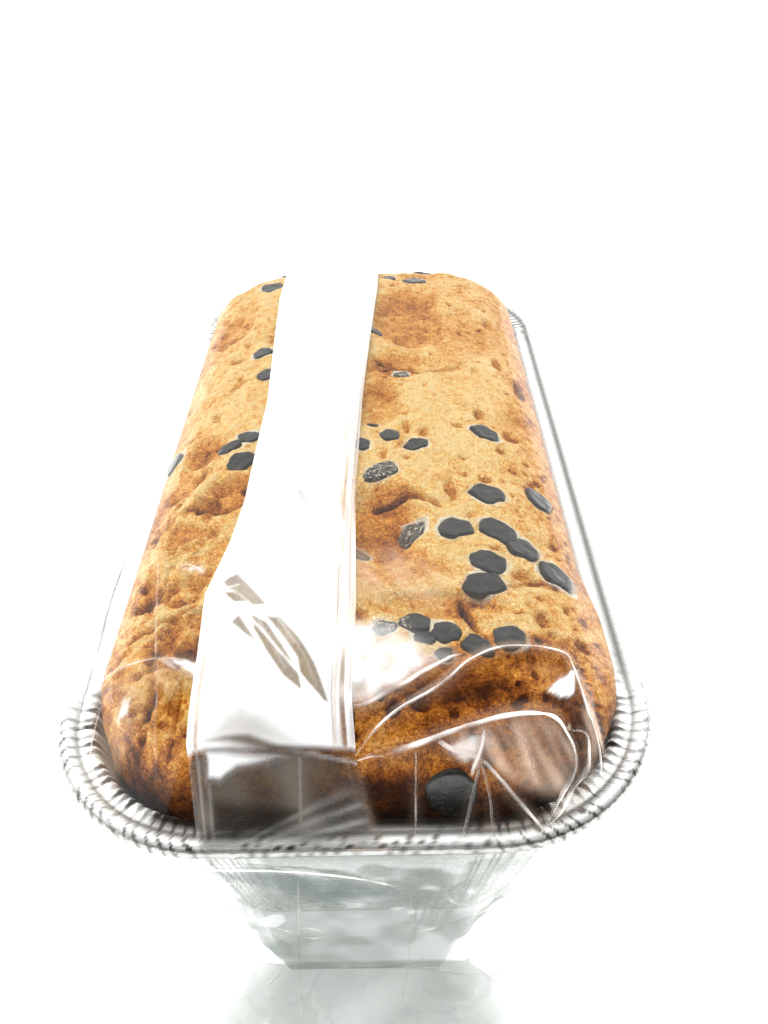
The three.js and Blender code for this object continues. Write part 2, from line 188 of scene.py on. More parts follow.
def patch(x, y, corners, soft):
    """1 inside a polygon and 0 outside it, with an edge that fades over soft."""
    odd = np.zeros(np.shape(x), bool)
    for (ax, ay), (bx, by) in zip(corners, corners[1:] + corners[:1]):
        if ay != by:
            crosses = (ay > y) != (by > y)
            odd ^= crosses & (x < ax + (y - ay) * (bx - ax) / (by - ay))
    edge, _ = along_line(x, y, corners + corners[:1])
    return smooth(-soft, soft, np.where(odd, edge, -edge))


# Cake's form

def lump_centres():
    """The middles and radii of the crust's lumps, from a repeatable stream of numbers."""
    state = LUMP_SEED

    def draw():
        nonlocal state
        state = state * 16807 % 2147483647
        return state / 2147483647

    centres = []
    for row in range(math.ceil(2 * CAKE[1] / LUMP_PITCH) + 1):
        for column in range(-2, 3):
            x = (column + (row % 2) / 2 + (draw() - 0.5) * 0.6) * LUMP_PITCH
            y = -CAKE[1] + (row + (draw() - 0.5) * 0.6) * LUMP_PITCH
            centres.append((x, y, LUMP_RADIUS * (0.85 + 0.4 * draw())))
    return centres


LUMPS = lump_centres()

# Each hollow: x, y, half width, half length, depth
HOLLOWS = [
    (14, 46, 13, 24, 3),
    (27, 38, 12, 20, 2),
    (11, 17, 9, 9, 2),
    (5, -4, 7, 11, 2.4),
    (6, -47, 9, 14, 3.4),
    (17, -69, 16, 4, 1.8),
    (-36, -15, 6, 7, 2.4),
    (-28, -34, 7, 8, 2.8),
    (-40, -24, 7, 8, 1.6),
    (-31, -74, 7, 7, 2.4),
    (-41, -59, 5, 6, 2.2),
    (-33, -62, 5, 4, 1.6),
    (24, -90, 20, 7, 1.4),
    (-14, 28, 10, 14, 2.6),
    (-12, 72, 12, 10, 2.4),
    (-38, 50, 8, 12, 2.2),
]
DEEPEST_HOLLOW = 3.4

# Each chip: x, y, size, stretch, turn in degrees
CHIPS = [
    (30.5, -13.5, 0.8, 1.35, 0),
    (29, -37, 0.9, 1.4, -5),
    (41, -33, 0.9, 1.35, -40),
    (21, -49, 0.95, 1.15, 0),
    (30, -48.5, 1, 1.2, -20),
    (34.5, -52.5, 1, 1.15, -40),
    (27, -58, 0.95, 1.15, 0),
    (25.5, -64, 0.95, 1.25, 20),
    (41, -57.5, 0.95, 1.35, -25),
    (12, -73.5, 0.75, 1.3, 0),
    (17.5, -76, 0.75, 1.2, -20),
    (23, -78.5, 0.7, 1.25, 0),
    (29, -76.5, 0.8, 1.25, 0),
    (13.5, -77, 0.45, 1.3, 0),
    (17, -80.5, 0.4, 1.3, 0),
    (6.5, -74.5, 0.5, 1.4, 0),
    (12, -48.5, 1.05, 0.9, 0),
    (6, -31.5, 0.75, 1.7, 35),
    (14, -21, 0.6, 1.4, 15),
    (8, -18, 0.6, 1.1, 0),
    (1.5, -21.5, 0.6, 1, 0),
    (4, -12.5, 0.45, 1, 0),
    (11.5, 12.5, 0.6, 1.1, 0),
    (4.5, 36.5, 0.6, 1, 0),
    (8.5, 83, 0.8, 1, 0),
    (17, 75, 0.95, 1.1, 0),
    (-29, 77, 1.05, 1.2, 10),
    (-26.5, 26.5, 0.75, 1.1, 30),
    (-24, 13.5, 0.7, 1, 0),
    (-25, -15, 0.6, 1.4, -10),
    (-29.5, -17.5, 0.55, 1.6, 0),
    (-26, -23, 0.8, 1.45, 0),
    (1.5, -55, 0.75, 1, 0),
    (-45, -12, 0.8, 1.2, 80),
    (-15, 50, 0.9, 1.1, 40),
    (-8, 14, 0.9, 1.2, 80),
    (-16, -8, 0.9, 1, 0),
    (-12, -40, 0.95, 1.2, 15),
    (-24, 90, 0.8, 1.1, 0),
    (20, 92, 0.8, 1.2, 20),
]
CHIP_RADIUS = 3.5
# Chips, counted from 0, that crumbs cling to
DUSTY_CHIPS = {15, 16, 17, 22}
THIN_DUST = 0.16
# The chip at the near end: x, height, size
FRONT_CHIP = (17.6, 64.6, 1.3)

# Cracks where one lump of the crust has risen over another: lines of points, x and y. The crust is darkened
# along them as painted shade
CRACKS = [
    [(20.5, -66), (22, -72), (24, -76.5)],
    [(20, -67), (24.5, -67.8), (31, -63.5), (37, -60.5), (44, -60)],
    [(3, -41), (12, -38), (20, -42)],
    [(-46, -40), (-36, -36), (-27, -38), (-22, -34)],
    [(-44, -72), (-36, -69), (-28, -66)],
    [(-37, -76), (-35.5, -83), (-36, -90)],
    [(2, 22), (10, 16), (18, 14), (30, 18)],
]
CRACK_HALF = 1.1
CRACK_DEPTH = 1.8


def chip_sides(number):
    """The sides of a chip's uneven outline: which way each faces and how far out it is, of the radius."""
    draw = random.Random(100 + number)
    count = draw.choice((4, 5, 5, 6))
    sides = []
    for k in range(count):
        way = 2 * math.pi * (k + draw.uniform(-0.25, 0.25)) / count
        sides.append((way, draw.uniform(0.72, 0.98)))
    return sides


def chip_edge(angle, sides):
    """How far a chip's edge reaches at an angle, as a share of its radius."""
    reach = np.full(np.shape(angle), 1.2)
    for way, far in sides:
        towards = np.cos(angle - way)
        reach = np.where(towards > 0.3, np.minimum(reach, far / np.maximum(towards, 0.3)), reach)
    waves = sum(np.sin(k * angle + 40 * sides[0][1] + k * sides[1][0]) / k for k in (2, 3, 5, 8))
    return 0.62 * reach + 0.36 + 0.13 * waves


def chip_reach(x, y):
    """Distance from the nearest chip's edge, in millimetres, below 0 inside it."""
    nearest = np.full(np.shape(x), 1e9)
    for number, (cx, cy, size, stretch, degrees) in enumerate(CHIPS):
        turn = math.radians(degrees)
        dx, dy = x - cx, y - cy
        across = (dx * math.cos(turn) + dy * math.sin(turn)) / stretch
        up = -dx * math.sin(turn) + dy * math.cos(turn)
        angle = np.arctan2(up, across)
        edge = CHIP_RADIUS * size * chip_edge(angle, chip_sides(number))
        nearest = np.minimum(nearest, np.hypot(across, up) - edge)
    return nearest


def crown(x, y):
    """The smooth height that the crust's lumps reach up to."""
    run = np.clip(depth_inside(x, y, CAKE, CAKE_CORNER) / SHOULDER_RUN, 0, 1)
    shoulder = (1 - (1 - run) ** SHOULDER_POWER) ** (1 / SHOULDER_POWER)
    dome = np.maximum(0, 1 - (x / CAKE[0]) ** 2) * np.maximum(0, 1 - (y / CAKE[1]) ** 2)
    return CAKE_EDGE + SHOULDER_RISE * shoulder + DOME_RISE * dome


def hollow_drop(x, y, warp=0.0):
    """How deep the crust's hollows are at a place. warp makes their edges uneven."""
    drop = np.zeros(np.shape(x))
    for cx, cy, rx, ry, depth in HOLLOWS:
        reach = np.hypot((x - cx) / rx, (y - cy) / ry) + warp
        drop = np.maximum(drop, depth * (1 - smooth(0.55, 1.05, reach)))
    return drop


def lump_valley(x, y):
    """0 on the lumps' tops and 1 in the valleys between them."""
    between = np.ones(np.shape(x))
    for cx, cy, r in LUMPS:
        between = np.minimum(between, ((x - cx) ** 2 + (y - cy) ** 2) / r**2)
    return between**2


def crust_base(x, y):
    """The crust without its fine relief, as the solid has it."""
    drop = np.maximum(LUMP_DEPTH * lump_valley(x, y), hollow_drop(x, y))
    return crown(x, y) - drop * smooth(0, 9, depth_inside(x, y, CAKE, CAKE_CORNER))


# Burst bubbles that show: x, y, half width, half length
SEEN_PITS = [
    (37.5, 50, 1.9, 3.0),
    (37.5, 24, 1.8, 3.6),
    (43, 16, 2.0, 5.0),
    (30, -5.5, 1.6, 2.0),
    (37, -11, 2.5, 2.8),
    (24.5, -12.5, 1.5, 0.9),
    (34, -18.5, 1.3, 1.3),
    (12, -13.5, 1.0, 3.0),
    (16, -16, 1.6, 2.4),
    (29, -31, 1.9, 1.8),
    (21, -36.5, 1.6, 3.4),
    (24.5, -44.5, 1.2, 1.0),
    (29, -53.8, 1.3, 0.8),
    (33, -60, 2.6, 2.2),
    (42, -47.5, 1.2, 1.1),
    (34, -67.5, 0.9, 1.0),
    (31.5, -69.8, 1.0, 0.7),
    (36, -70.5, 1.5, 1.9),
    (41.5, -66.5, 1.1, 1.5),
    (45, -67, 1.2, 1.9),
    (37, -74.5, 1.5, 1.5),
    (43.5, -74, 1.6, 2.0),
    (46.5, -80, 1.3, 1.7),
    (48, -85.5, 1.1, 1.8),
    (-35.9, -59.2, 1.6, 1.9),
    (-32.4, -64.6, 4.1, 2.0),
    (-33.6, -70.3, 1.6, 1.8),
    (-40.5, -60.6, 2.4, 3.6),
    (-30.0, -77.0, 3.7, 4.3),
    (-36.4, -74.8, 1.3, 2.9),
    (-34.5, -83.9, 1.2, 2.4),
    (-29.7, -87.0, 2.5, 2.6),
    (-38.5, -91.8, 1.5, 2.0),
    (-33.5, -37.5, 1.6, 2.6),
    (-25, 36, 1.8, 3.6),
    (-34, 27, 2.4, 1.6),
    (-31, 12, 1.4, 1.8),
]


def pit_list():
    """Burst bubbles in the crust: x, y, half width, half length, turn, depth."""
    draw = random.Random(31)
    pits = [(x, y, a, b, 0, 0.9 * min(a, 1.5)) for x, y, a, b in SEEN_PITS]
    # Where small pits lie: low x, high x, low y, high y, how many, smallest and largest half width
    fields = [
        (26, 47, -90, -20, 60, 0.35, 1.0),
        (-47, -24, -97, -28, 40, 0.4, 1.1),
        (-47, -24, -28, 80, 46, 0.4, 1.2),
        (4, 46, -40, 90, 70, 0.35, 1.0),
        (-24, 4, -90, 90, 40, 0.5, 1.4),
        (-46, 46, -97, -86, 34, 0.4, 1.3),
        (-40, 40, 80, 98, 30, 0.5, 1.3),
    ]
    for x0, x1, y0, y1, count, small, large in fields:
        for _ in range(count):
            wide = draw.uniform(small, large)
            place = (draw.uniform(x0, x1), draw.uniform(y0, y1))
            size = (wide, wide * draw.uniform(0.9, 1.8))
            pits.append((*place, *size, draw.uniform(0, math.pi), draw.uniform(0.5, 0.9) * wide))
    return pits


PITS = pit_list()


def pit_share(x, y):
    """0 outside the burst bubbles, 1 at their middles, and how deep the crust drops there."""
    share = np.zeros(np.shape(x))
    drop = np.zeros(np.shape(x))
    ragged = 0.34 * cloud(x, y, 1.3, 3.0) + 0.3 * cloud(x, y, 3.0, 23.0)
    for cx, cy, rx, ry, turn, depth in PITS:
        near = (np.abs(x - cx) < 2.2 * ry) & (np.abs(y - cy) < 2.2 * ry)
        dx, dy = x[near] - cx, y[near] - cy
        a = (dx * math.cos(turn) + dy * math.sin(turn)) / rx
        b = (-dx * math.sin(turn) + dy * math.cos(turn)) / ry
        here = 1 - smooth(0.55, 1.1, np.hypot(a, b) + ragged[near])
        share[near] = np.maximum(share[near], here)
        drop[near] = np.maximum(drop[near], depth * here)
    return share, drop


def sunk_cells(x, y, size, keep, layer):
    """1 inside the cells that have sunk and 0 on the ridges between cells. keep is the share that sinks."""

    def ragged(value, seed):
        small = 0.16 * size * cloud(x, y, size * 0.4, seed)
        return value + small + 0.25 * size * cloud(x, y, size, seed + 1)

    ragged_x = ragged(x, layer + 1)
    ragged_y = ragged(y, layer + 3)
    share = []
    for a, b in zip(ragged_x / size, ragged_y / size):
        far, middles = noise.voronoi(Vector((a, b, layer)))
        chance = (math.sin(middles[0].x * 91.7 + middles[0].y * 47.3) * 437.5) % 1
        share.append((far[1] - far[0]) * (chance < keep))
    return smooth(0.08, 0.24, np.array(share))


def crag_share(x, y):
    """Where the crust is craggy, and how far its sunk cells and crevices go, each from 0 to 1."""
    left = smooth(-20, -30, x) * smooth(-5, -34, y)
    corner = smooth(-74, -84, y) * smooth(-16, -26, x)
    far_left = 0.4 * smooth(-20, -30, x)
    right = 0.3 * smooth(28, 38, x) * smooth(40, 0, y)
    where = np.maximum(np.maximum(left, corner), np.maximum(far_left, right))
    holes = np.maximum(sunk_cells(x, y, 8.0, 0.5, 17.0), 0.8 * sunk_cells(x, y, 3.4, 0.42, 27.0))
    wander = 0.09 * cloud(x, y, 2.2, 31.0)
    crevice = smooth(0.05, 0.01, np.abs(cloud(x, y, 13.0, 21.0) + wander)) * corner
    return where, holes * where, 0.6 * crevice


def crack_share(x, y):
    share = np.zeros(np.shape(x))
    wander = 0.8 * cloud(x, y, 5, 9.0)
    for line in CRACKS:
        far, place = along_line(x, y, line)
        fade = smooth(0, 0.15, place) * smooth(1, 0.85, place)
        share = np.maximum(share, fade * (1 - smooth(0, CRACK_HALF, np.abs(far + wander))))
    return share


# Meshes

def read(verts):
    return np.array([v.co for v in verts]).T


def write(verts, x, y, z):
    for vert, place in zip(verts, zip(x, y, z)):
        vert.co = place


def add_grid(bm, across, along, form):
    """A grid whose points (u, v), from -1 to 1, go where form puts them."""
    made = bmesh.ops.create_grid(bm, x_segments=across, y_segments=along, size=1)["verts"]
    u, v, _ = read(made)
    write(made, *form(u, v))
    return made


def square_edge(share, cells):
    """The point of a square's edge a share of the way round it, with cells across and along."""
    across, along = cells
    step = np.round(share * 2 * (across + along), 6) % (2 * (across + along))
    bottom = step < across
    right = (step >= across) & (step < across + along)
    top = (step >= across + along) & (step < 2 * across + along)
    sides = [bottom, right, top]
    u = np.select(sides, [-1 + 2 * step / across, 1, 1 - 2 * (step - across - along) / across], -1)
    left_v = 1 - 2 * (step - 2 * across - along) / along
    v = np.select(sides, [-1, -1 + 2 * (step - across) / along, 1], left_v)
    return u, v


def nearer(v):
    """Draws a grid's rows towards the near end, where the view is close."""
    return v - 0.22 * (1 - v * v)


def add_belt(bm, cells, levels, form):
    """A closed band round a grid's edge. form takes the edge's (u, v), and t from 0 at the top to 1."""

    def place(a, b):
        u, v = square_edge((1 - a) / 2, cells)
        return form(u, v, (1 - b) / 2)

    return add_grid(bm, 2 * sum(cells), levels, place)


def finish_piece(bm, name, material, nodes=(), outwards=True):
    """Closes seams, makes the mesh in metres and hands the piece to the frame."""
    bmesh.ops.remove_doubles(bm, verts=bm.verts, dist=0.002)
    if outwards:
        bmesh.ops.recalc_face_normals(bm, faces=bm.faces)
    bmesh.ops.scale(bm, vec=(MM, MM, MM), verts=bm.verts)
    mesh = bpy.data.meshes.new(name)
    bm.to_mesh(mesh)
    bm.free()
    mesh.polygons.foreach_set("use_smooth", [True] * len(mesh.polygons))
    mesh.materials.append(material)
    piece = bpy.data.objects.new(name, mesh)
    bpy.context.scene.collection.objects.link(piece)
    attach(piece, "root")
    if nodes:
        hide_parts(*nodes)
    return piece


def points_of(piece):
    """A finished piece's points in millimetres."""
    flat = np.zeros(len(piece.data.vertices) * 3)
    piece.data.vertices.foreach_get("co", flat)
    return flat.reshape(-1, 3).T / MM


def paint(piece, name, values):
    """Keeps one number a point, for the piece's material."""
    layer = piece.data.attributes.new(name, "FLOAT", "POINT")
    layer.data.foreach_set("value", np.clip(values, 0, 1).astype(np.float32))


# Shader maths

class Wire:
    """A socket that takes part in Python sums. Each sum adds the Math node that it needs."""

    def __init__(self, tree, socket=None):
        self.tree = tree
        self.socket = socket

    def node(self, kind, settings=None, sockets=None, out=0, stops=None):
        made = self.tree.nodes.new(kind)
        for name, value in (settings or {}).items():
            setattr(made, name, value)
        if stops:
            ramp = made.color_ramp
            while len(ramp.elements) < len(stops):
                ramp.elements.new(0.5)
            for element, (position, colour) in zip(ramp.elements, stops):
                element.position = position
                element.color = (*colour, 1)
        for key, value in (sockets or {}).items():
            if isinstance(value, Wire):
                self.tree.links.new(value.socket, made.inputs[key])
            else:
                made.inputs[key].default_value = value
        return Wire(self.tree, made.outputs[out] if len(made.outputs) else None)

    def math(self, operation, *values):
        return self.node("ShaderNodeMath", {"operation": operation}, dict(enumerate(values)))

    def __add__(self, other):
        return self.math("ADD", self, other)

    def __sub__(self, other):
        return self.math("SUBTRACT", self, other)

    def __mul__(self, other):
        return self.math("MULTIPLY", self, other)

    def __truediv__(self, other):
        return self.math("DIVIDE", self, other)

    def __pow__(self, other):
        return self.math("POWER", self, other)

    def __rsub__(self, other):
        return self.math("SUBTRACT", other, self)

    def __rtruediv__(self, other):
        return self.math("DIVIDE", other, self)

    __radd__ = __add__
    __rmul__ = __mul__

    def clamp(self):
        return self.node("ShaderNodeMath", {"operation": "ADD", "use_clamp": True}, {0: self, 1: 0.0})

    def between(self, low, high, start=0.0, end=1.0):
        """The value mapped smoothly from low..high to start..end."""
        return self.node(
            "ShaderNodeMapRange",
            {"interpolation_type": "SMOOTHSTEP"},
            {"Value": self, "From Min": low, "From Max": high, "To Min": start, "To Max": end},
        )

    def ramp(self, stops):
        return self.node("ShaderNodeValToRGB", None, {"Fac": self}, stops=stops)

    def mix(self, low, high):
        """Two colours mixed by this value."""
        pair = [(*c, 1) if isinstance(c, tuple) else c for c in (low, high)]
        return self.node(
            "ShaderNodeMix",
            {"data_type": "RGBA"},
            {0: self.clamp(), 6: pair[0], 7: pair[1]},
            out=2,
        )

    def attribute(self, name):
        return self.node("ShaderNodeAttribute", {"attribute_name": name}, out=2)

    def place(self):
        return self.node("ShaderNodeTexCoord", out=3)

    def grain(self, across, detail=2.0, roughness=0.5, distortion=0.0, stretch=None):
        """Noise from 0 to 1 with hills about across millimetres wide. stretch draws it out along axes."""
        place = self.place()
        if stretch:
            place = self.node("ShaderNodeMapping", None, {"Vector": place, "Scale": stretch})
        return self.node(
            "ShaderNodeTexNoise",
            None,
            {
                "Vector": place,
                "Scale": 1 / (across * MM),
                "Detail": detail,
                "Roughness": roughness,
                "Distortion": distortion,
            },
        )

    def bump(self, strength, distance):
        return self.node(
            "ShaderNodeBump", None, {"Strength": strength, "Distance": distance * MM, "Height": self}
        )


def new_material(name):
    material = bpy.data.materials.new(name)
    material.use_nodes = True
    tree = material.node_tree
    tree.nodes.clear()
    return material, Wire(tree)


def end_material(wire, shader):
    wire.node("ShaderNodeOutputMaterial", None, {"Surface": shader})


# Linear colours. The crust's go from the palest to the darkest bake, and also carry its painted shade
CRUST_COLOURS = [
    (0.0, (0.95, 0.68, 0.29)),
    (0.2, (0.90, 0.53, 0.145)),
    (0.4, (0.78, 0.325, 0.048)),
    (0.6, (0.51, 0.163, 0.014)),
    (0.8, (0.22, 0.056, 0.004)),
    (1.0, (0.055, 0.013, 0.001)),
]
MARGIN_COLOUR = (0.95, 0.88, 0.72)
CHOCOLATE_COLOUR = (0.008, 0.008, 0.007)
BLOOM_COLOUR = (0.026, 0.026, 0.024)
CRUMB_COLOUR = (0.30, 0.26, 0.19)
FOIL_COLOURS = ((0.84, 0.87, 0.84), (0.93, 0.955, 0.93))
# The colour of the foil's painted shade
FOIL_SHADE_COLOUR = (0.075, 0.066, 0.055)
# The colours of the film's painted glare and of its warm painted reflection of the crust
WHITE_GLARE = (0.97, 0.98, 0.98)
CRUST_REFLECTION_COLOUR = (0.96, 0.70, 0.52)
DIM_FILM = (0.46, 0.50, 0.47)


def crust_material():
    """Baked crumb: golden on the lumps, brown in the hollows and pits, pale round the chips, with painted
    shade in its cracks and crevices and low down.
    """
    material, w = new_material("baked_crust")
    brown = w.attribute("brown")
    margin = w.attribute("margin")
    patches = w.grain(6, 4, 0.6, 0.8).between(0.42, 0.58)
    specks = w.grain(1.5, 3, 0.6, 0.6).between(0.36, 0.64)
    crumb = w.grain(0.5, 3, 0.65, 0.5).between(0.38, 0.62)
    flecks = w.grain(0.8, 3, 0.7, 2.0, stretch=(1.0, 1.7, 1.0)).between(0.53, 0.61)
    mottle = (specks - 0.5) * 0.24 + (crumb - 0.5) * 0.3 + flecks * 0.19
    tone = brown + (patches - 0.5) * 0.16 + mottle * (1 - brown * 0.6)
    colour = margin.mix(tone.clamp().ramp(CRUST_COLOURS), MARGIN_COLOUR)
    wrinkles = w.grain(1.1, 4, 0.65, 1.6).between(0.3, 0.7)
    fibres = w.grain(0.42, 3, 0.65, 0.8, stretch=(1.0, 0.6, 1.0)).between(0.3, 0.7)
    relief = wrinkles * 0.6 + fibres * 0.4 - flecks * 0.25
    shader = w.node(
        "ShaderNodeBsdfPrincipled",
        None,
        {
            "Base Color": colour,
            "Roughness": specks.between(0.3, 0.7, 0.42, 0.72),
            "Specular IOR Level": 0.22,
            "Normal": relief.bump(1.0, 1.1),
        },
    )
    end_material(w, shader)
    return material


def chocolate_material():
    """Baked chocolate: nearly black, half matt, with a grey bloom in places."""
    material, w = new_material("baked_chocolate")
    dust = w.attribute("dust")
    bloom = w.grain(2.2, 4, 0.65).between(0.5, 0.75)
    crumbs = (w.grain(0.6, 3, 0.75) + dust * 0.15 - 0.16).between(0.50, 0.62)
    dark = bloom.mix(CHOCOLATE_COLOUR, BLOOM_COLOUR)
    colour = crumbs.mix(dark, CRUMB_COLOUR)
    dents = w.grain(1.6, 3, 0.6, 0.5)
    shader = w.node(
        "ShaderNodeBsdfPrincipled",
        None,
        {
            "Base Color": colour,
            "Roughness": bloom.between(0, 1, 0.32, 0.6),
            "Normal": dents.bump(0.4, 0.4),
        },
    )
    end_material(w, shader)
    return material


def foil_material():
    """Thin aluminium foil: bright, with shallow dents and fine rolling lines, painted shade in its grooves
    and creases, and a painted reflection on its flange.
    """
    material, w = new_material("tin_foil")
    dents = w.grain(7, 2, 0.5)
    wrinkles = w.grain(1.8, 3, 0.55, 0.8)
    lines = w.grain(0.25, 2, 0.5, stretch=(0.03, 1.0, 0.03))
    relief = dents * 0.6 + wrinkles * 0.3 + lines * 0.1
    shade_and_reflection = w.attribute("shade_and_reflection")
    shader = w.node(
        "ShaderNodeBsdfPrincipled",
        None,
        {
            "Base Color": shade_and_reflection.mix(wrinkles.mix(*FOIL_COLOURS), FOIL_SHADE_COLOUR),
            "Metallic": shade_and_reflection.between(0, 1, 0.45, 0.9),
            "Roughness": lines.between(0.3, 0.7, 0.16, 0.3),
            "Normal": relief.bump(0.12, 0.6),
        },
    )
    end_material(w, shader)
    return material


def film_material(name, crinkle, shaded):
    """Clear film: it mirrors more at a slant and where plies lie on each other, and has painted white
    highlights where it is creased. Its attributes are plies, from 0 for one to 1 for many, then a painted
    milky layer for its highlights, reflections and haze, then shade, where that layer is painted shade, and
    the warm painted reflection of the crust, and dim, where less light comes through, used as painted
    shade. crinkle is the dents' size, strength and depth, and shaded the painted layer's colour in its
    shade."""
    material, w = new_material(name)
    facing = w.node("ShaderNodeLayerWeight", None, {"Blend": 0.5}, out=1)
    single = facing ** 4 * 0.12 + 0.045
    plies = w.attribute("plies")
    glare_and_haze = w.attribute("glare_and_haze")
    mirrored = 1 - (1 - single) ** (plies * 5 + 1)
    cover = 1 - (1 - mirrored) * (1 - glare_and_haze)
    size, strength, distance = crinkle
    facets = w.grain(size, 2, 0.5, 1.2)
    fine = w.grain(size / 3, 2, 0.5)
    relief = facets * 0.75 + fine * 0.25
    painted_layer_colour = w.attribute("warm_reflection").mix(WHITE_GLARE, CRUST_REFLECTION_COLOUR)
    shine = w.node(
        "ShaderNodeBsdfPrincipled",
        None,
        {
            "Base Color": w.attribute("shade").mix(painted_layer_colour, shaded),
            "Metallic": (1 - glare_and_haze * 0.9).clamp(),
            "Roughness": glare_and_haze.between(0, 1, 0.07, 0.4),
            "Normal": relief.bump(strength, distance),
        },
    )
    clear = w.node("ShaderNodeBsdfTransparent", None, {"Color": (1, 1, 1, 1)})
    grey = w.node("ShaderNodeBsdfTransparent", None, {"Color": (*DIM_FILM, 1)})
    through = w.node("ShaderNodeMixShader", None, {0: w.attribute("dim"), 1: clear, 2: grey})
    end_material(w, w.node("ShaderNodeMixShader", None, {0: cover.clamp(), 1: through, 2: shine}))
    return material


# Cake

CAKE_CELLS = (196, 430)
CAKE_FLOOR = TIN_BASE + FOIL + 0.3
# How much of full darkness each thing adds to the crust's tone. The darkening of cracks, crevices and low
# places is painted shade
TONES = {
    "pale": 0.03,
    "hollow": 0.42,
    "valley": 0.16,
    "edge": 0.15,
    "near end": 0.43,
    "low": 0.28,
    "left corner": 0.12,
    "pit": 0.42,
    "crack": 0.52,
    "hole": 0.24,
    "crevice": 0.4,
    "uneven": 0.10,
}
# Where the deep brown of the near end begins: places across, and how far along
FRONT_BROWN = ((-48, -27, 0, 10, 20, 30, 41.5, 46), (-93, -90, -87.5, -82.5, -76.5, -73.5, -74.5, -93))
# Darker and lighter patches of the near end: x, height as the camera sees it, half sizes, change of tone
FRONT_PATCHES = [
    (19, 4.6, 11, 3.0, 0.28),
    (24, 9.5, 14, 3.0, 0.16),
    (7, -10.5, 9, 2.8, 0.22),
    (7, -2.4, 6, 3.2, -0.14),
    (36, 1.0, 7, 8, -0.07),
    (27, -9, 7, 5, -0.10),
    (-30, -4, 7, 6, -0.12),
]
# Darker patches on top: x, y, half sizes, change of tone
TOP_PATCHES = [
    (45, -75, 5, 3.5, 0.16),
    (47.5, -85, 2.5, 5, 0.12),
    (9, -60, 12, 6, 0.26),
    (-40.5, -60.6, 3.0, 4.4, 0.16),
    (20, -71, 3, 4, 0.15),
    (20, 70, 18, 22, 0.16),
    (7, 12, 7, 12, 0.16),
    (8, -44, 9, 10, 0.12),
    (-31, -43, 8, 10, 0.14),
    (-38, -14, 5, 7, 0.1),
]


def form_tone_and_shade(x, y, z, warp):
    """How dark the crust is from the cake's form: darker in hollows, at edges and at the near end, with
    painted shade low down. warp makes the hollows' edges uneven."""
    hollow = hollow_drop(x, y, warp) / DEEPEST_HOLLOW
    left = smooth(-20, -30, x)
    ahead = smooth(0.3, -2.2, y - np.interp(x, *FRONT_BROWN)) * (1 - 0.4 * smooth(-24, -30, x))
    # Painted shade low down on the crust
    low = smooth(72, 61, z) * (1 - 0.3 * smooth(42, 47, x) * smooth(-96, -90, y))
    edge = 1 - smooth(1, 17, depth_inside(x, y, CAKE, CAKE_CORNER))
    edge = edge * (1 + smooth(25, 42, x) * (0.65 + 0.65 * smooth(-72, -60, y)))
    tone = TONES["pale"] + TONES["hollow"] * hollow + TONES["valley"] * lump_valley(x, y)
    tone = tone + TONES["edge"] * edge + TONES["near end"] * ahead + TONES["low"] * low
    return tone + TONES["left corner"] * smooth(-84, -96, y) * left


def brownness(x, y, z):
    """How dark the crust is, from 0 to 1, with its pits, cracks and patches. The dark of cracks and
    crevices is painted shade.
    """
    pits, _ = pit_share(x, y)
    _, holes, crevice = crag_share(x, y)
    warp = 0.22 * rough(x, y, 9, 5.0)
    tone = form_tone_and_shade(x, y, z, warp) + (TONES["pit"] - 0.12 * smooth(-20, -28, x)) * pits
    # The dark of cracks and crevices is painted shade
    tone = tone + TONES["crack"] * crack_share(x, y) + TONES["hole"] * holes + TONES["crevice"] * crevice
    seen_height = 0.78 * z + 0.63 * y + 0.9 * cloud(x, y + z, 4, 6.6)
    for cx, height, wide, high, change in FRONT_PATCHES:
        reach = np.hypot((x - cx) / wide, (seen_height - height) / high)
        tone = tone + change * smooth(1.3, 0.5, reach) * smooth(-70, -80, y)
    for cx, cy, rx, ry, change in TOP_PATCHES:
        tone = tone + change * smooth(1.2, 0.5, np.hypot((x - cx) / rx, (y - cy) / ry) + warp)
    return tone + TONES["uneven"] * rough(x, y, 12, 2.0)


def crust_height(x, y):
    """The crust's height with its fine relief: lumps, wrinkles, pits, cracks and the seats of the chips."""
    depth = depth_inside(x, y, CAKE, CAKE_CORNER)
    calm = smooth(0, 6, depth)
    _, pit_drop = pit_share(x, y)
    reach = chip_reach(x, y)
    clear_of_chips = smooth(0.2, 2.0, reach)
    craggy, holes, crevice = crag_share(x, y)
    fine = 0.5 * cloud(x, y, 8, 1.0) + (0.26 + 0.2 * craggy) * cloud(x, y, 3.1, 4.0)
    fine = fine + 0.18 * creased(x, y, 1.7, 6.0)
    seat = -0.9 * smooth(0.1, -0.7, reach) + 0.2 * smooth(-0.2, 0.4, reach) * smooth(1.4, 0.5, reach)
    dip = pit_drop + CRACK_DEPTH * crack_share(x, y) + 1.15 * holes + crevice
    relief = fine * (0.35 + 0.65 * clear_of_chips) + seat - dip * clear_of_chips
    return crust_base(x, y) + calm * relief - CRUST_DROP


def side_bulge(x, y):
    """How far the cake's right side bulges over the tin's flange at the near end."""
    near_edge = smooth(5, 0, depth_inside(x, y, CAKE, CAKE_CORNER))
    return RIGHT_BULGE * near_edge * smooth(26, 40, x) * smooth(-46, -64, y)


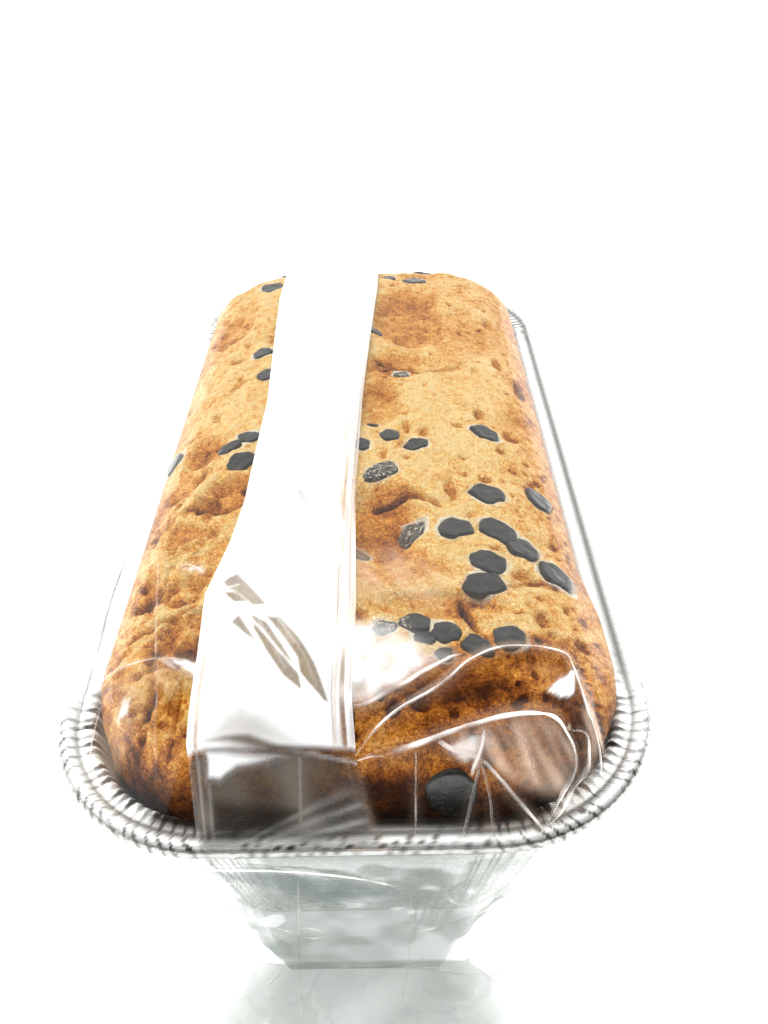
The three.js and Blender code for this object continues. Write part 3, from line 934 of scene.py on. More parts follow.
def make_cake(material):
    """The cake in one skin: the crust on top, its sides down into the tin, and its base."""
    bm = bmesh.new()
    wall_corner = CAKE_CORNER - 1.5
    # Rings down the side: inset from the rim, corner radius, height. The first two are the crust's edge
    levels = [
        (RIM_REACH, CAKE_CORNER, CAKE_EDGE - CRUST_DROP),
        (RIM_REACH + 0.1, CAKE_CORNER, 62.4),
        (WALL_INSET + 1.6, wall_corner, FLANGE - 3),
        (BASE_INSET + 1.0, BASE_CORNER, CAKE_FLOOR + BASE_ROUND),
        (BASE_INSET + 4, BASE_CORNER - 2, CAKE_FLOOR),
    ]

    def top(u, v):
        v = nearer(v)
        x, y = inside(u, v, CAKE, CAKE_CORNER)
        return x + side_bulge(x, y), y, crust_height(x, y)

    def side(u, v, t):
        v = nearer(v)
        place = t * (len(levels) - 1)
        columns = []
        for number, (by, radius, z) in enumerate(levels):
            x, y = outline(u, v, inset(RIM, by), radius)
            if number == 0:
                z = crust_height(x, y)
            if number < 2:
                x = x + side_bulge(x, y)
            columns.append((x, y, np.broadcast_to(z, x.shape)))
        low = np.minimum(place.astype(int), len(levels) - 2)
        rest = place - low
        out = []
        for axis in range(3):
            stack = np.array([c[axis] for c in columns])
            rows = np.arange(len(u))
            out.append(stack[low, rows] * (1 - rest) + stack[low + 1, rows] * rest)
        return out

    add_grid(bm, *CAKE_CELLS, top)
    belt = add_belt(bm, CAKE_CELLS, 4, side)
    bmesh.ops.remove_doubles(bm, verts=belt, dist=0.002)
    bottom = [e for e in bm.edges if e.is_boundary and max(v.co.z for v in e.verts) < CAKE_FLOOR + 0.1]
    bmesh.ops.contextual_create(bm, geom=bottom)
    cake = finish_piece(bm, "crust_and_crumb", material, ["cake"])
    x, y, z = points_of(cake)
    reach = chip_reach(x, y)
    ragged = 0.5 * cloud(x, y, 1.5, 8.0)
    patchy = smooth(-0.35, 0.35, cloud(x, y, 9, 12.0))
    on_top = smooth(62, 66, z) * patchy
    paint(cake, "brown", brownness(x, y, z))
    paint(cake, "margin", 0.85 * on_top * smooth(0.8, 0.3, reach + ragged))
    return cake


def add_chip(bm, number, place, normal, size, stretch, degrees):
    """A flat, uneven drop of chocolate sunk into the crust. The one at the near end is round."""
    sides = chip_sides(number) if number < len(CHIPS) else [(0, 1), (1, 1)]
    draw = random.Random(500 + number)
    made = bmesh.ops.create_uvsphere(bm, u_segments=48, v_segments=18, radius=1)["verts"]
    a, b, c = read(made)
    angle = np.arctan2(b, a)
    ring = np.hypot(a, b)
    reach = CHIP_RADIUS * size * ring * chip_edge(angle, sides)
    tilt = draw.uniform(-0.12, 0.12)
    dents = 0.16 * cloud(a * 2, b * 2, 1.0, number + 0.5)
    x = reach * np.cos(angle) * stretch
    y = reach * np.sin(angle)
    top = 0.75 * np.clip(2.4 * c, 0, 1) ** 0.6
    z = np.where(c > 0, top, 1.9 * c) + dents * (c > -0.2) + tilt * y * 0.5 - 0.2
    write(made, x, y, z)
    turn = Matrix.Rotation(math.radians(degrees), 4, "Z")
    lean = Vector((0, 0, 1)).rotation_difference(normal).to_matrix().to_4x4()
    move = Matrix.Translation(place)
    bmesh.ops.transform(bm, matrix=move @ lean @ turn, verts=made)


def make_chips(material):
    bm = bmesh.new()
    step = 2.0
    for number, (x, y, size, stretch, degrees) in enumerate(CHIPS):
        xs = np.array([x, x + step, x - step, x, x])
        ys = np.array([y, y, y, y + step, y - step])
        z = crust_base(xs, ys) - CRUST_DROP
        normal = Vector((z[2] - z[1], z[4] - z[3], 2 * step)).normalized()
        add_chip(bm, number, (x, y, z[0]), normal, size, stretch, degrees)
    x, z, size = FRONT_CHIP
    add_chip(bm, len(CHIPS), (x, 0.2 - CAKE[1], z), Vector((0, -1, 0.25)).normalized(), size, 1, 0)
    chips = finish_piece(bm, "chocolate_chips", material)
    x, y, _ = points_of(chips)
    dust = np.full(x.shape, THIN_DUST)
    for number in DUSTY_CHIPS:
        cx, cy = CHIPS[number][:2]
        dust[np.hypot(x - cx, y - cy) < 1.4 * CHIP_RADIUS] = 1
    paint(chips, "dust", dust)
    return chips


# Tin

def tin_walk():
    """Stations round the tin's rim: the quarter's signs, its angle, and the share along the straight that
    follows it. Corner stations are close enough together for the crimps."""
    stations = []
    quarters = [((1, -1), 270), ((1, 1), 0), ((-1, 1), 90), ((-1, -1), 180)]
    corner_steps = round(RIM_CORNER * math.pi / 2 / CRIMP_PITCH) * 9
    for quarter, (signs, start) in enumerate(quarters):
        for k in range(corner_steps):
            stations.append((signs, math.radians(start + 90 * k / corner_steps), None, 0.0))
        after = quarters[(quarter + 1) % 4][0]
        length = 2 * (RIM[1] - RIM_CORNER if quarter % 2 == 0 else RIM[0] - RIM_CORNER)
        steps = round(length / 1.1)
        for k in range(steps):
            stations.append((signs, math.radians(start + 90), after, k / steps))
    return stations


def tin_ring(by, stations):
    """Places and outward directions of the stations on a ring inset from the rim."""
    share = np.clip((by - WALL_INSET) / (BASE_INSET - WALL_INSET), 0, 1)
    wall_corner = RIM_CORNER - WALL_INSET
    radius = RIM_CORNER - by if by < WALL_INSET else wall_corner + (BASE_CORNER - wall_corner) * share
    radius = max(radius - max(0.0, by - BASE_INSET), 0.5)
    centre = (RIM[0] - by - radius, RIM[1] - by - radius)
    places = []
    for signs, angle, after, along in stations:
        out = (math.cos(angle), math.sin(angle))
        x = signs[0] * centre[0] + radius * out[0]
        y = signs[1] * centre[1] + radius * out[1]
        if after:
            x += (after[0] - signs[0]) * centre[0] * along
            y += (after[1] - signs[1]) * centre[1] * along
        places.append((x, y, *out))
    return np.array(places)


def tin_rings():
    """The rings of the foil's section, from under the base, up the outside, round the bead and down the
    inside: inset, height, how much the crimps show sideways, and how much they show up and down."""
    floor = TIN_BASE + FOIL
    wall_foot = TIN_BASE + BASE_ROUND + 0.6

    def wall(foot, head, shares):
        return [(*(a + (b - a) * t for a, b in zip(foot, head)), 0.4, 0) for t in shares]

    rings = [
        (38, TIN_BASE, 0, 0),
        (BASE_INSET + BASE_ROUND, TIN_BASE, 0, 0),
        (BASE_INSET + 1.6, TIN_BASE + 0.7, 0, 0),
        (BASE_INSET + 0.3, TIN_BASE + 2.2, 0.1, 0),
        (BASE_INSET - 0.4, wall_foot, 0.25, 0),
    ]
    rings += wall((BASE_INSET - 0.4, wall_foot), (WALL_INSET - FOIL, FLANGE - 1.2), np.linspace(0.08, 1, 9))
    rings += [
        (WALL_INSET - 0.9, FLANGE - FOIL - 0.15, 0.3, 0.15),
        (5.4, FLANGE - FOIL, 0.1, 0.28),
        (4.2, FLANGE - FOIL, 0, 0.28),
        (2 * BEAD + 0.1, FLANGE - FOIL - 0.1, 0, 0.2),
    ]
    for degrees in np.arange(200, 480, 22):
        angle = math.radians(degrees)
        out = BEAD * (1 - math.cos(angle))
        rings.append((out, TIN_TOP - BEAD + BEAD * math.sin(angle), 0.16, 0.1))
    rings += [
        (2 * BEAD + 0.25, FLANGE + 0.05, 0, 0.22),
        (4.2, FLANGE, 0, 0.28),
        (5.4, FLANGE, 0.1, 0.28),
        (WALL_INSET - 0.6, FLANGE - 0.1, 0.3, 0.15),
    ]
    rings += wall((WALL_INSET, FLANGE - 1.2), (BASE_INSET, wall_foot), np.linspace(0, 1, 10))
    rings += [
        (BASE_INSET + 0.7, floor + 2.2, 0.1, 0),
        (BASE_INSET + 2, floor + 0.7, 0, 0),
        (BASE_INSET + BASE_ROUND, floor, 0, 0),
        (38, floor, 0, 0),
    ]
    return rings


def tin_crimps(stations):
    """Each station's crimp: its height, how far it is from its fold's middle, and how dark the painted
    shade in its crease is. The folds are sharp in the corners and fade out along the straights."""
    draw = random.Random(12)
    walked, crimps, folds = 0.0, [], {}
    before = None
    for signs, angle, after, along in stations:
        straight = 2 * (RIM[1] - RIM_CORNER if abs(math.sin(angle)) < 0.5 else RIM[0] - RIM_CORNER)
        from_corner = min(along, 1 - along) * straight if after else 0.0
        # A point that moves as far as the station does, round a corner or along a straight
        turn = (math.cos(angle) * RIM_CORNER, math.sin(angle) * RIM_CORNER)
        here = (signs[0] * 1000 + turn[0], turn[1], along * straight)
        if before:
            walked += min(math.dist(here, before), 2.0)
        before = here
        number = int(walked / CRIMP_PITCH)
        if number not in folds:
            folds[number] = (draw.uniform(0.3, 1.4), draw.uniform(0.3, 0.7), draw.uniform(0.2, 1))
        height, middle, dark = folds[number]
        off = abs(walked / CRIMP_PITCH % 1 - middle)
        share = max(0.05, 1 - from_corner / 12)
        crimps.append((height * share * (0.4 - 1.6 * max(0, 1 - off / 0.22)), off, dark * share))
    return np.array(crimps)


def round_the_rim(x, y):
    """How far round the rim points lie from the middle of the near or far end, in millimetres."""
    straight_x, straight_y = RIM[0] - RIM_CORNER, RIM[1] - RIM_CORNER
    turned = np.arctan2(np.maximum(abs(y) - straight_y, 0), np.maximum(abs(x) - straight_x, 0) + 1e-6)
    gone = np.minimum(abs(x), straight_x) + RIM_CORNER * (math.pi / 2 - turned)
    return np.sign(x) * (gone + straight_y - np.minimum(abs(y), straight_y))


def rim_shading(x, y, z):
    """The painted shade round the foil's rim: beside the bead, in the bead's pleats, along its outer edge
    and on the walls, and the painted reflection of the dark end of the cake in the flange.
    """
    depth = depth_inside(x, y, RIM, RIM_CORNER)
    on_flange = smooth(FLANGE - 1.2, FLANGE - 0.6, z)
    right_side = smooth(20, 50, x) * smooth(-84, -66, y)
    # Painted shade beside the bead, heavier on the right side
    beside_bead = smooth(0.7 + 0.8 * right_side, 0.1, np.abs(depth - 3.5)) * (0.6 + 0.4 * right_side)
    corner = smooth(RIM[1] - RIM_CORNER - 10, RIM[1] - RIM_CORNER + 2, np.abs(y))
    gone = round_the_rim(x, y)
    slant = gone + 0.7 * depth + 0.3 * (z - TIN_TOP) + 1.6 * cloud(gone, 0 * gone, 3.5, 4.0)
    # Painted shade of the bead's pleats, in slanting strokes
    pleat_shade = smooth(0.45, 0.95, np.sin(slant * 2 * math.pi / BEAD_MARK_PITCH)) * smooth(3.2, 2.6, depth)
    pleat_shade = pleat_shade * smooth(-0.25, 0.35, cloud(x, y, 6, 5.0) + 0.25 * corner) * (1 - 0.85 * right_side)
    # Painted shade along the bead's outer edge
    bead_edge_shade = 0.5 * smooth(1.1, 0.3, depth) + 0.22 * smooth(2.2, 1.2, depth)
    # Painted reflection: the front of the flange mirrors the dark end of the cake
    mirrored = smooth(3.6, 4.6, depth) * smooth(40, 32, np.abs(x)) * smooth(-99, -101, y)
    # Painted shade on the walls below the flange, lighter on the right
    wall = (0.36 - 0.14 * smooth(36, 48, x)) * smooth(FLANGE - 1, FLANGE - 3, z)
    return on_flange * (beside_bead + 0.6 * pleat_shade + mirrored) + wall + bead_edge_shade * (z > FLANGE - 2.6)


def make_tin(material):
    """The tin in one skin of foil, with crimped corners."""
    stations = tin_walk()
    count = len(stations)
    rings = tin_rings()
    outer_rings = 15
    crimps = tin_crimps(stations)
    ring_points = np.array([tin_ring(by, stations) for by, _, _, _ in rings])
    ring_facts = np.array(rings)
    bm = bmesh.new()
    shade_and_reflection = bm.verts.layers.float.new("shade_and_reflection")
    shading_values = []

    def form(u, v):
        station = np.round((u + 1) / 2 * count).astype(int) % count
        level = np.round((v + 1) / 2 * (len(rings) - 1)).astype(int)
        x, y, out_x, out_y = ring_points[level, station].T
        by, z, sideways, up = ring_facts[level].T
        fold, off, dark = crimps[station].T
        # Painted shade in the creases runs out from the wall and tapers off on the flange
        taper = 0.42 * smooth(3.2, WALL_INSET, by) * (z > FLANGE - 1.3)
        crease_shade = dark * smooth(taper + 0.05, taper - 0.08, off) * (taper > 0)
        # The long walls and the back get painted shade outside
        away = smooth(RIM[0] - 22, RIM[0] - 12, abs(x)) + smooth(60, 90, y)
        shading_values.extend(crease_shade + 0.36 * np.clip(away, 0, 1) * (level < outer_rings))
        lift = 0.25 * cloud(x, y, 26, 2.0) * smooth(24, 8, by)
        return x - out_x * fold * sideways, y - out_y * fold * sideways, z + fold * up + lift

    made = add_grid(bm, count, len(rings) - 1, form)
    for vert, value in zip(made, shading_values):
        vert[shade_and_reflection] = value
    bmesh.ops.remove_doubles(bm, verts=bm.verts, dist=0.001)
    bmesh.ops.holes_fill(bm, edges=[e for e in bm.edges if e.is_boundary], sides=0)
    tin = finish_piece(bm, "foil_loaf_tin", material, ["foil_tin"])
    x, y, z = points_of(tin)
    layer = tin.data.attributes["shade_and_reflection"].data
    dark = np.zeros(x.shape)
    layer.foreach_get("value", dark)
    layer.foreach_set("value", np.clip(dark + rim_shading(x, y, z), 0, 1))
    return tin


# Film

# Folds of the film over the cake: points, x and y, half width, rise, and how white the painted highlight on
# the crease is
FOLDS = [
    ([(1, -96.8), (8, -91.5), (16, -87.5), (21, -83.4), (27, -80.7), (35, -79.6), (39, -80),
      (40.5, -85), (42, -89.5), (43.2, -94), (43, -99)], 1.0, 0.9, 0.75),
    ([(-0.5, -90), (2.4, -90.5), (9, -87.6), (13.5, -85), (20, -81.5)], 1.3, 0.7, 0.9),
    ([(1.4, -97.2), (8.6, -96.5), (15.4, -95), (20.5, -93.6), (26, -92.2), (31, -91.5), (35.4, -91.6),
      (38, -94), (38, -97.5), (35.4, -101.5), (32.5, -105)], 1.3, 0.9, 0.85),
    ([(38.4, -91.9), (41, -92), (41.2, -94.5), (40.4, -97), (37.6, -100), (35.6, -103),
      (32.8, -105)], 1.2, 0.6, 0.9),
    ([(22.2, -97.5), (27.6, -102.2), (32.6, -106)], 1.2, 0.6, 0.7),
    ([(22.2, -97.5), (20, -103.5), (18.3, -107.5)], 0.9, 0.4, 0.4),
    ([(22.2, -97.8), (23.4, -102.5), (23.8, -107.6)], 0.9, 0.4, 0.45),
    ([(11.3, -96.7), (10.9, -107.6)], 0.6, 0.25, 0.4),
    ([(22.2, -97.5), (18, -96.6), (15, -95.6)], 1.6, 0.5, 0.8),
    ([(23, -94), (22.4, -96), (20.4, -99.6)], 1.4, 0.5, 0.85),
    ([(26.5, -93), (30, -95.5), (31, -99)], 0.8, 0.3, 0.25),
    ([(-48, -79), (-41, -79.6), (-34, -80.2), (-27, -82)], 0.8, 0.6, 0.45),
    ([(-34, -80.2), (-30, -83), (-26.6, -85)], 0.8, 0.3, 0.7),
    ([(-41.8, -44.4), (-38.6, -58.9), (-35.4, -75.9), (-33.5, -85.2), (-33, -94),
      (-32.6, -99.5)], 0.5, 0.2, 0.25),
    ([(-45, -84), (-46, -92), (-42, -99)], 0.8, 0.3, 0.3),
    ([(-29, -60), (-32, -57.5), (-35, -57)], 0.8, 0.3, 0.6),
]
# Where the film's slack side shows as a thin grey line, a painted dark reflection
LEFT_OUTLINE = [(-50.3, -86), (-50.5, -82), (-50.4, -74), (-51, -65.7), (-52, -52.2), (-51.7, -38)]
# Painted highlights, where the film is turned to the light: corners, softness, whiteness
GLINTS = [
    ([(34, -87.2), (37, -84.3), (40.3, -81.8), (39.6, -86.6), (36.6, -88)], 0.4, 1.0),
    ([(15.5, -96.4), (19, -94.8), (22.6, -93.9), (24.6, -95.4), (22.2, -97.3),
      (19.6, -98.2)], 0.8, 0.75),
    ([(-34, -80.2), (-27, -81.6), (-26.6, -84.6), (-29, -82.8)], 0.4, 0.95),
    ([(-40.4, -85.2), (-38.4, -85.6), (-38.8, -88.4), (-41.2, -88.6)], 0.5, 0.7),
    ([(-35, -57.2), (-29, -58.5), (-28.6, -60.5)], 0.4, 0.6),
    ([(-5, -73), (-5, -92), (4.1, -90.6), (9.5, -88), (15, -84), (17, -82), (12, -78.5),
      (7, -75.5)], 3.8, 0.76),
]
# Painted reflections: hazy places, warm where the film mirrors the crust: corners, softness, whiteness
REFLECTIONS = [
    ([(15.4, -94.3), (22.3, -92.6), (30.9, -91.2), (36.2, -91.6), (38.8, -94.2), (39.2, -98.2),
      (35.3, -101.5), (28.5, -100.8), (23.6, -98.5), (18.7, -97.3)], 1.6, 0.5),
    ([(42.6, -85.8), (44.2, -91.3), (41.3, -99.2), (37.8, -103.1), (39.1, -99.6), (41.3, -92.9),
      (40.3, -88.3)], 1.0, 0.5),
    ([(31, -88), (41, -82), (42, -86), (40, -91)], 2.0, 0.12),
    ([(-44, -80), (-37, -81), (-36, -90), (-41, -97), (-45, -92)], 2.0, 0.2),
    ([(-27, -81), (-34, -79.5), (-38, -84), (-30, -88)], 1.5, 0.2),
    ([(0, -57), (9, -57), (19, -63), (16, -70), (9, -68), (0, -68)], 4.0, 0.26),
    ([(0, -99), (2, -97.5), (3.5, -102), (6, -108), (0, -108)], 1.0, 0.3),
]


def film_surface(x, y):
    """The height of the tight film over the cake and from the cake's shoulder down to the rim."""
    depth = depth_inside(x, y, CAKE, CAKE_CORNER)
    over = crown(x, y) + FILM_LIFT
    edge = CAKE_EDGE + SHOULDER_RISE * 0.45 + FILM_LIFT
    down = np.clip((SHOULDER_INSET - depth) / (SHOULDER_INSET + RIM_REACH), 0, 1)
    skirt = edge + (TIN_TOP + FILM_OUTSIDE - edge) * down
    return np.where(depth >= SHOULDER_INSET, np.maximum(over, edge), skirt)


def fold_rise(x, y):
    """How far the folds lift the film."""
    rise = np.zeros(np.shape(x))
    for line, half, height, _ in FOLDS:
        far, place = along_line(x, y, line)
        fade = smooth(0, 0.06, place) * smooth(1, 0.9, place)
        rise = np.maximum(rise, height * fade * np.maximum(0, 1 - far / (2 * half)))
    return rise


def film_height(x, y):
    """The height of the film with its folds and its slack."""
    rise = fold_rise(x, y)
    calm = smooth(0.3, 5, depth_inside(x, y, RIM, RIM_CORNER))
    front = smooth(-70, -90, y)
    slack = 0.25 * cloud(x, y, 17, 3.0) + (0.12 + 0.3 * front) * creased(x, y, 11, 8.0)
    return film_surface(x, y) + calm * (slack + rise)


def table_outline(u, v, out):
    """The wrap's outline on the table: the tin's base, drawn out to a nose at each end."""
    x, y = outline(u, v, inset(RIM, BASE_INSET - out), BASE_CORNER)
    rim_x, _ = outline(u, v, RIM, RIM_CORNER)
    nose = 1 - smooth(22, 34, np.abs(rim_x))
    reach = np.where(np.abs(v) > 0.999999, nose * (NOSE_REACH + out - np.abs(y)), 0)
    return x, y + np.sign(y) * reach


# Where the front panel is pleated and dimmed in darker streaks, and where painted shade lies under its
# bright upper fold: x and z
PLEATED_PANEL = [(9.5, 51), (22, 51), (15, 24), (9.5, 16)]
SHADED_PANEL = [
    (-24, 55.5), (-9, 55), (-1, 52.6), (8.5, 46.6), (8, 44.5), (-2, 42.5), (-12, 42), (-19, 48),
]


def glare(x, y):
    """Painted highlights: how white the film is where it is turned to the light, and a painted reflection
    down its left side.
    """
    uneven = 0.8 + 0.4 * cloud(x, y, 2.5, 1.7)
    white = np.zeros(x.shape)
    for corners, soft, whiteness in GLINTS:
        white = np.maximum(white, whiteness * uneven * patch(x, y, corners, soft) ** 2)
    left_side = smooth(1.5, -2, depth_inside(x, y, CAKE, CAKE_CORNER)) * smooth(-86, -72, y)
    return np.maximum(white, 0.34 * left_side * smooth(-30, -42, x))


def painted_reflection(x, y):
    """Painted reflection: how milky the film is where it mirrors the crust, and a painted sheen beside its
    folds.
    """
    streaks = 0.75 + 0.6 * cloud(x + 0.6 * y, 0.25 * y, 1.6, 2.2)
    warm_reflection = np.zeros(x.shape)
    for corners, soft, whiteness in REFLECTIONS:
        warm_reflection = np.maximum(warm_reflection, whiteness * streaks * patch(x, y, corners, soft))
    for line, _, _, whiteness in FOLDS:
        far, place = along_line(x, y, [tuple(p) for p in curve(line)])
        warm_reflection = np.maximum(warm_reflection, 0.24 * whiteness * smooth(2.4, 0.2, far) * (1 - (2 * place - 1) ** 8))
    return warm_reflection


FILM_CELLS = (190, 300)
# Rows of the film below the rim's top, and how many of them go round the bead
FILM_LEVELS = 34
RIM_LEVELS = 3


def make_film_body(material):
    """One ply of film over the cake, round the rim and down to the table, closed under the tin."""
    bm = bmesh.new()

    def top(u, v):
        v = nearer(v)
        x, y = inside(u, v, RIM, RIM_CORNER)
        return x, y, film_height(x, y)

    def side(u, v, t):
        v = nearer(v)
        high = outline(u, v, inset(RIM, -FILM_OUTSIDE), RIM_CORNER)
        low = table_outline(u, v, 0.5)
        start = outline(u, v, RIM, RIM_CORNER)
        level = t * FILM_LEVELS
        round_rim = np.clip(level / RIM_LEVELS, 0, 1)
        down = np.clip((level - RIM_LEVELS) / (FILM_LEVELS - RIM_LEVELS), 0, 1)
        x = start[0] + (high[0] - start[0]) * smooth(0, 1, round_rim)
        y = start[1] + (high[1] - start[1]) * smooth(0, 1, round_rim)
        x = x + (low[0] - high[0]) * down
        y = y + (low[1] - high[1]) * down
        z = film_height(*start) - 2.6 * round_rim
        z = z + (0.35 - z) * down
        calm = np.sin(math.pi * down) ** 0.7
        ends = smooth(70, 95, np.abs(y))
        reach = np.hypot(x, y)
        push = calm * (0.5 + 1.5 * ends) * creased(x + z * 0.4, y + z * 0.6, 13, 5.0)
        push = push + calm * ends * 0.5 * creased(x, z, 6, 2.0) - 0.9 * calm * ends
        return x + x / reach * push, y + y / reach * push, z

    add_grid(bm, *FILM_CELLS, top)
    belt = add_belt(bm, FILM_CELLS, FILM_LEVELS, side)
    bmesh.ops.remove_doubles(bm, verts=belt, dist=0.002)
    under = [e for e in bm.edges if e.is_boundary and max(v.co.z for v in e.verts) < 1]
    bmesh.ops.contextual_create(bm, geom=under)
    body = finish_piece(bm, "film_over_loaf", material, ["film_wrap"])
    x, y, z = points_of(body)
    top_side = smooth(TIN_TOP - 0.5, TIN_TOP + 0.5, z)
    # Painted highlights and warm painted reflections on top
    white = glare(x, y) * top_side
    warm_reflection = painted_reflection(x, y) * top_side
    panel_half = 28 + 16 * z / TIN_TOP
    # The lower front panel gets a thin painted milky layer and is dimmed, with darker facets and streaks
    front_low = smooth(TIN_TOP - 1, TIN_TOP - 6, z) * smooth(92, 100, np.abs(y))
    front_low = front_low * smooth(panel_half, panel_half - 15, abs(x))
    # Painted shade under the front panel's bright upper fold
    dark = patch(x, z, SHADED_PANEL, 0.8) * (y < -90)
    facets = 0.42 + 0.9 * cloud(x + 0.5 * z, z - 0.4 * x, 17, 6.3) + 0.5 * cloud(x, z, 5, 7.7)
    pleats = 0.8 + 1.2 * cloud(x * 1.6 - z * 0.3, z * 0.1, 1.2, 3.0)
    facets = facets + 0.5 * patch(x, z, PLEATED_PANEL, 1.5) * pleats
    paint(body, "glare_and_haze", np.maximum(np.maximum(white, warm_reflection) + 0.16 * front_low, 0.5 * dark))
    paint(body, "shade", dark)
    paint(body, "warm_reflection", warm_reflection / (warm_reflection + 1.6 * white + 0.02))
    paint(body, "plies", 0.15 * front_low)
    paint(body, "dim", np.clip(facets, 0.1, 1) * front_low)
    return body


# Creases of the front panel, with painted highlights: points, x and z, half width, whiteness
PANEL_CREASES = [
    ([(-26.5, 58.4), (-23.7, 58.1), (-15.8, 57.5), (-9, 56.4), (-1.2, 54), (5.3, 50.6),
      (9.1, 47.4)], 0.5, 0.95),
    ([(-27.7, 59.5), (-26.1, 44), (-22.4, 37), (-17.7, 30.9), (-12.1, 25.1)], 0.4, 0.5),
    ([(-11.4, 29.3), (-8.4, 27.5), (-6.4, 23.9), (-8.8, 22.7), (-11.9, 23.4)], 0.3, 0.6),
    ([(35, 58), (29.4, 48.2), (24, 37), (17.1, 29.4), (9.8, 23.9)], 0.4, 0.55),
    ([(15.6, 45.5), (18.4, 40.3), (21.1, 39.4)], 0.6, 0.9),
    ([(27.5, 52.4), (24.5, 45.7), (21.1, 40.1)], 0.5, 0.6),
    ([(-9.2, 54.5), (-11.5, 30), (-13.9, 3)], 0.2, 0.4),
    ([(10.1, 46.4), (9.9, 24), (9.4, 1.5)], 0.2, 0.4),
    ([(21.6, 6.6), (25, 10.4), (27.4, 11.6), (31, 7.5), (32.9, 5)], 0.5, 0.85),
]
# The same on the table, x and y
TABLE_CREASES = [
    ([(-23.4, -99.6), (-14, -101.1), (-4.1, -101.3), (9.4, -101.7), (21.6, -103.3),
      (26, -104)], 0.35, 0.6),
    ([(-23.4, -99.6), (-30.1, -106), (-37.1, -112.1), (-45, -122)], 0.5, 0.8),
    ([(26, -103.1), (30.8, -105), (35.7, -107.2)], 0.7, 0.95),
    ([(-17.4, -101.5), (-20.5, -105.6)], 0.4, 0.5),
    ([(-14, -101.1), (-12.6, -112.5)], 0.2, 0.3),
    ([(9.4, -101.7), (7.4, -110.6)], 0.2, 0.3),
]


def make_creases(name, folds, surface, flat, material):
    """Narrow creases along folds, with painted highlights or, where the whiteness is below 0, a painted
    grey reflection. surface lifts two coordinates onto the film, and flat takes a point back to them."""
    bm = bmesh.new()
    paths = [curve(line) for line, _, _ in folds]
    for number, (path, (_, half, _)) in enumerate(zip(paths, folds)):
        gone = np.concatenate([[0], np.cumsum(np.hypot(*np.diff(path, axis=0).T))])

        def place_at(s):
            return [np.interp(s, gone, path[:, k]) for k in (0, 1)]

        def form(u, v):
            s = (v + 1) / 2 * gone[-1]
            a, b = place_at(s)
            before, after = place_at(s - 0.3), place_at(s + 0.3)
            way_a, way_b = after[0] - before[0], after[1] - before[1]
            size = np.hypot(way_a, way_b) + 1e-6
            wide = half * (1 - 0.8 * v**4) * (0.85 + 0.7 * cloud(a, b, 3.5, number + 0.5))
            a = a - way_b / size * u * wide
            b = b + way_a / size * u * wide
            return surface(a, b, 0.14 + 0.12 * (1 - u * u))

        add_grid(bm, 6, max(10, round(gone[-1] / 0.4)), form)
    creases = finish_piece(bm, name, material, outwards=False)
    a, b = flat(*points_of(creases))
    glare_and_haze = np.zeros(a.shape)
    grey = np.zeros(a.shape)
    for path, (_, half, whiteness) in zip(paths, folds):
        far, place = along_line(a, b, [tuple(p) for p in path])
        fade = (0.75 + 1.1 * cloud(a, b, 4.5, 4.4)) * (1 - 0.7 * (2 * place - 1) ** 6)
        here = 1.2 * abs(whiteness) * fade * smooth(1.15 * half, 0.05 * half, far)
        grey = np.where((here > glare_and_haze) & (here > 0), whiteness < 0, grey)
        glare_and_haze = np.maximum(glare_and_haze, here)
    paint(creases, "glare_and_haze", glare_and_haze)
    paint(creases, "shade", grey)
    paint(creases, "warm_reflection", np.full(glare_and_haze.shape, 0.3))
    paint(creases, "plies", 0.3 * glare_and_haze)
    return creases


# Where the seam's left and right edges run, as (y, x) from the far end to the near one
SEAM_LEFT = [
    (108, -24), (59, -24.4), (-2, -21.7), (-40, -22.9), (-52, -24.4), (-66, -27.6), (-80, -26.9),
    (-95, -27.4), (-108, -25),
]
SEAM_RIGHT = [
    (108, 6), (63, 5.2), (-5, 1.6), (-42, 0.6), (-70, 1.2), (-89, 0.6), (-97, 1.3), (-108, 4.1),
]
# Places where the light misses the seam and the cake shows through: corners, softness, how clear
SEAM_GAPS = [
    ([(-24.6, -64), (-21.8, -62.1), (-18.4, -66.4), (-15.4, -70.4), (-17.9, -70.6), (-20.9, -67.5),
      (-23, -66)], 0.35, 0.6),
    ([(-23.6, -66.8), (-21.9, -69.5), (-19, -69.7), (-21.2, -67.4)], 0.35, 0.85),
    ([(-21.3, -74.4), (-20.2, -72.9), (-17.2, -77.7), (-16.1, -79.1), (-18.5, -77.2)], 0.4, 0.75),
    ([(-17.7, -73), (-15, -74.8), (-12.1, -79.4), (-8.8, -84.7), (-8.1, -87.6), (-11.2, -85.2),
      (-14.5, -80.6), (-17, -76.2)], 0.35, 0.9),
    ([(-15.1, -73.3), (-12.5, -73.8), (-8.5, -78.8), (-5.8, -83.5), (-3.3, -89.9), (-4.5, -89.4),
      (-8.2, -85.3), (-8.9, -82.1), (-12.3, -77.2)], 0.4, 0.66),
    ([(-13, -38), (-10, -38), (-8.5, -43), (-11, -45)], 1.5, 0.5),
    ([(-7, -2), (-3.5, 0), (-3.5, -8), (-6, -9)], 2.5, 0.45),
    ([(0, 50), (4, 96), (-3, 96), (0, 70)], 4.0, 0.6),
]
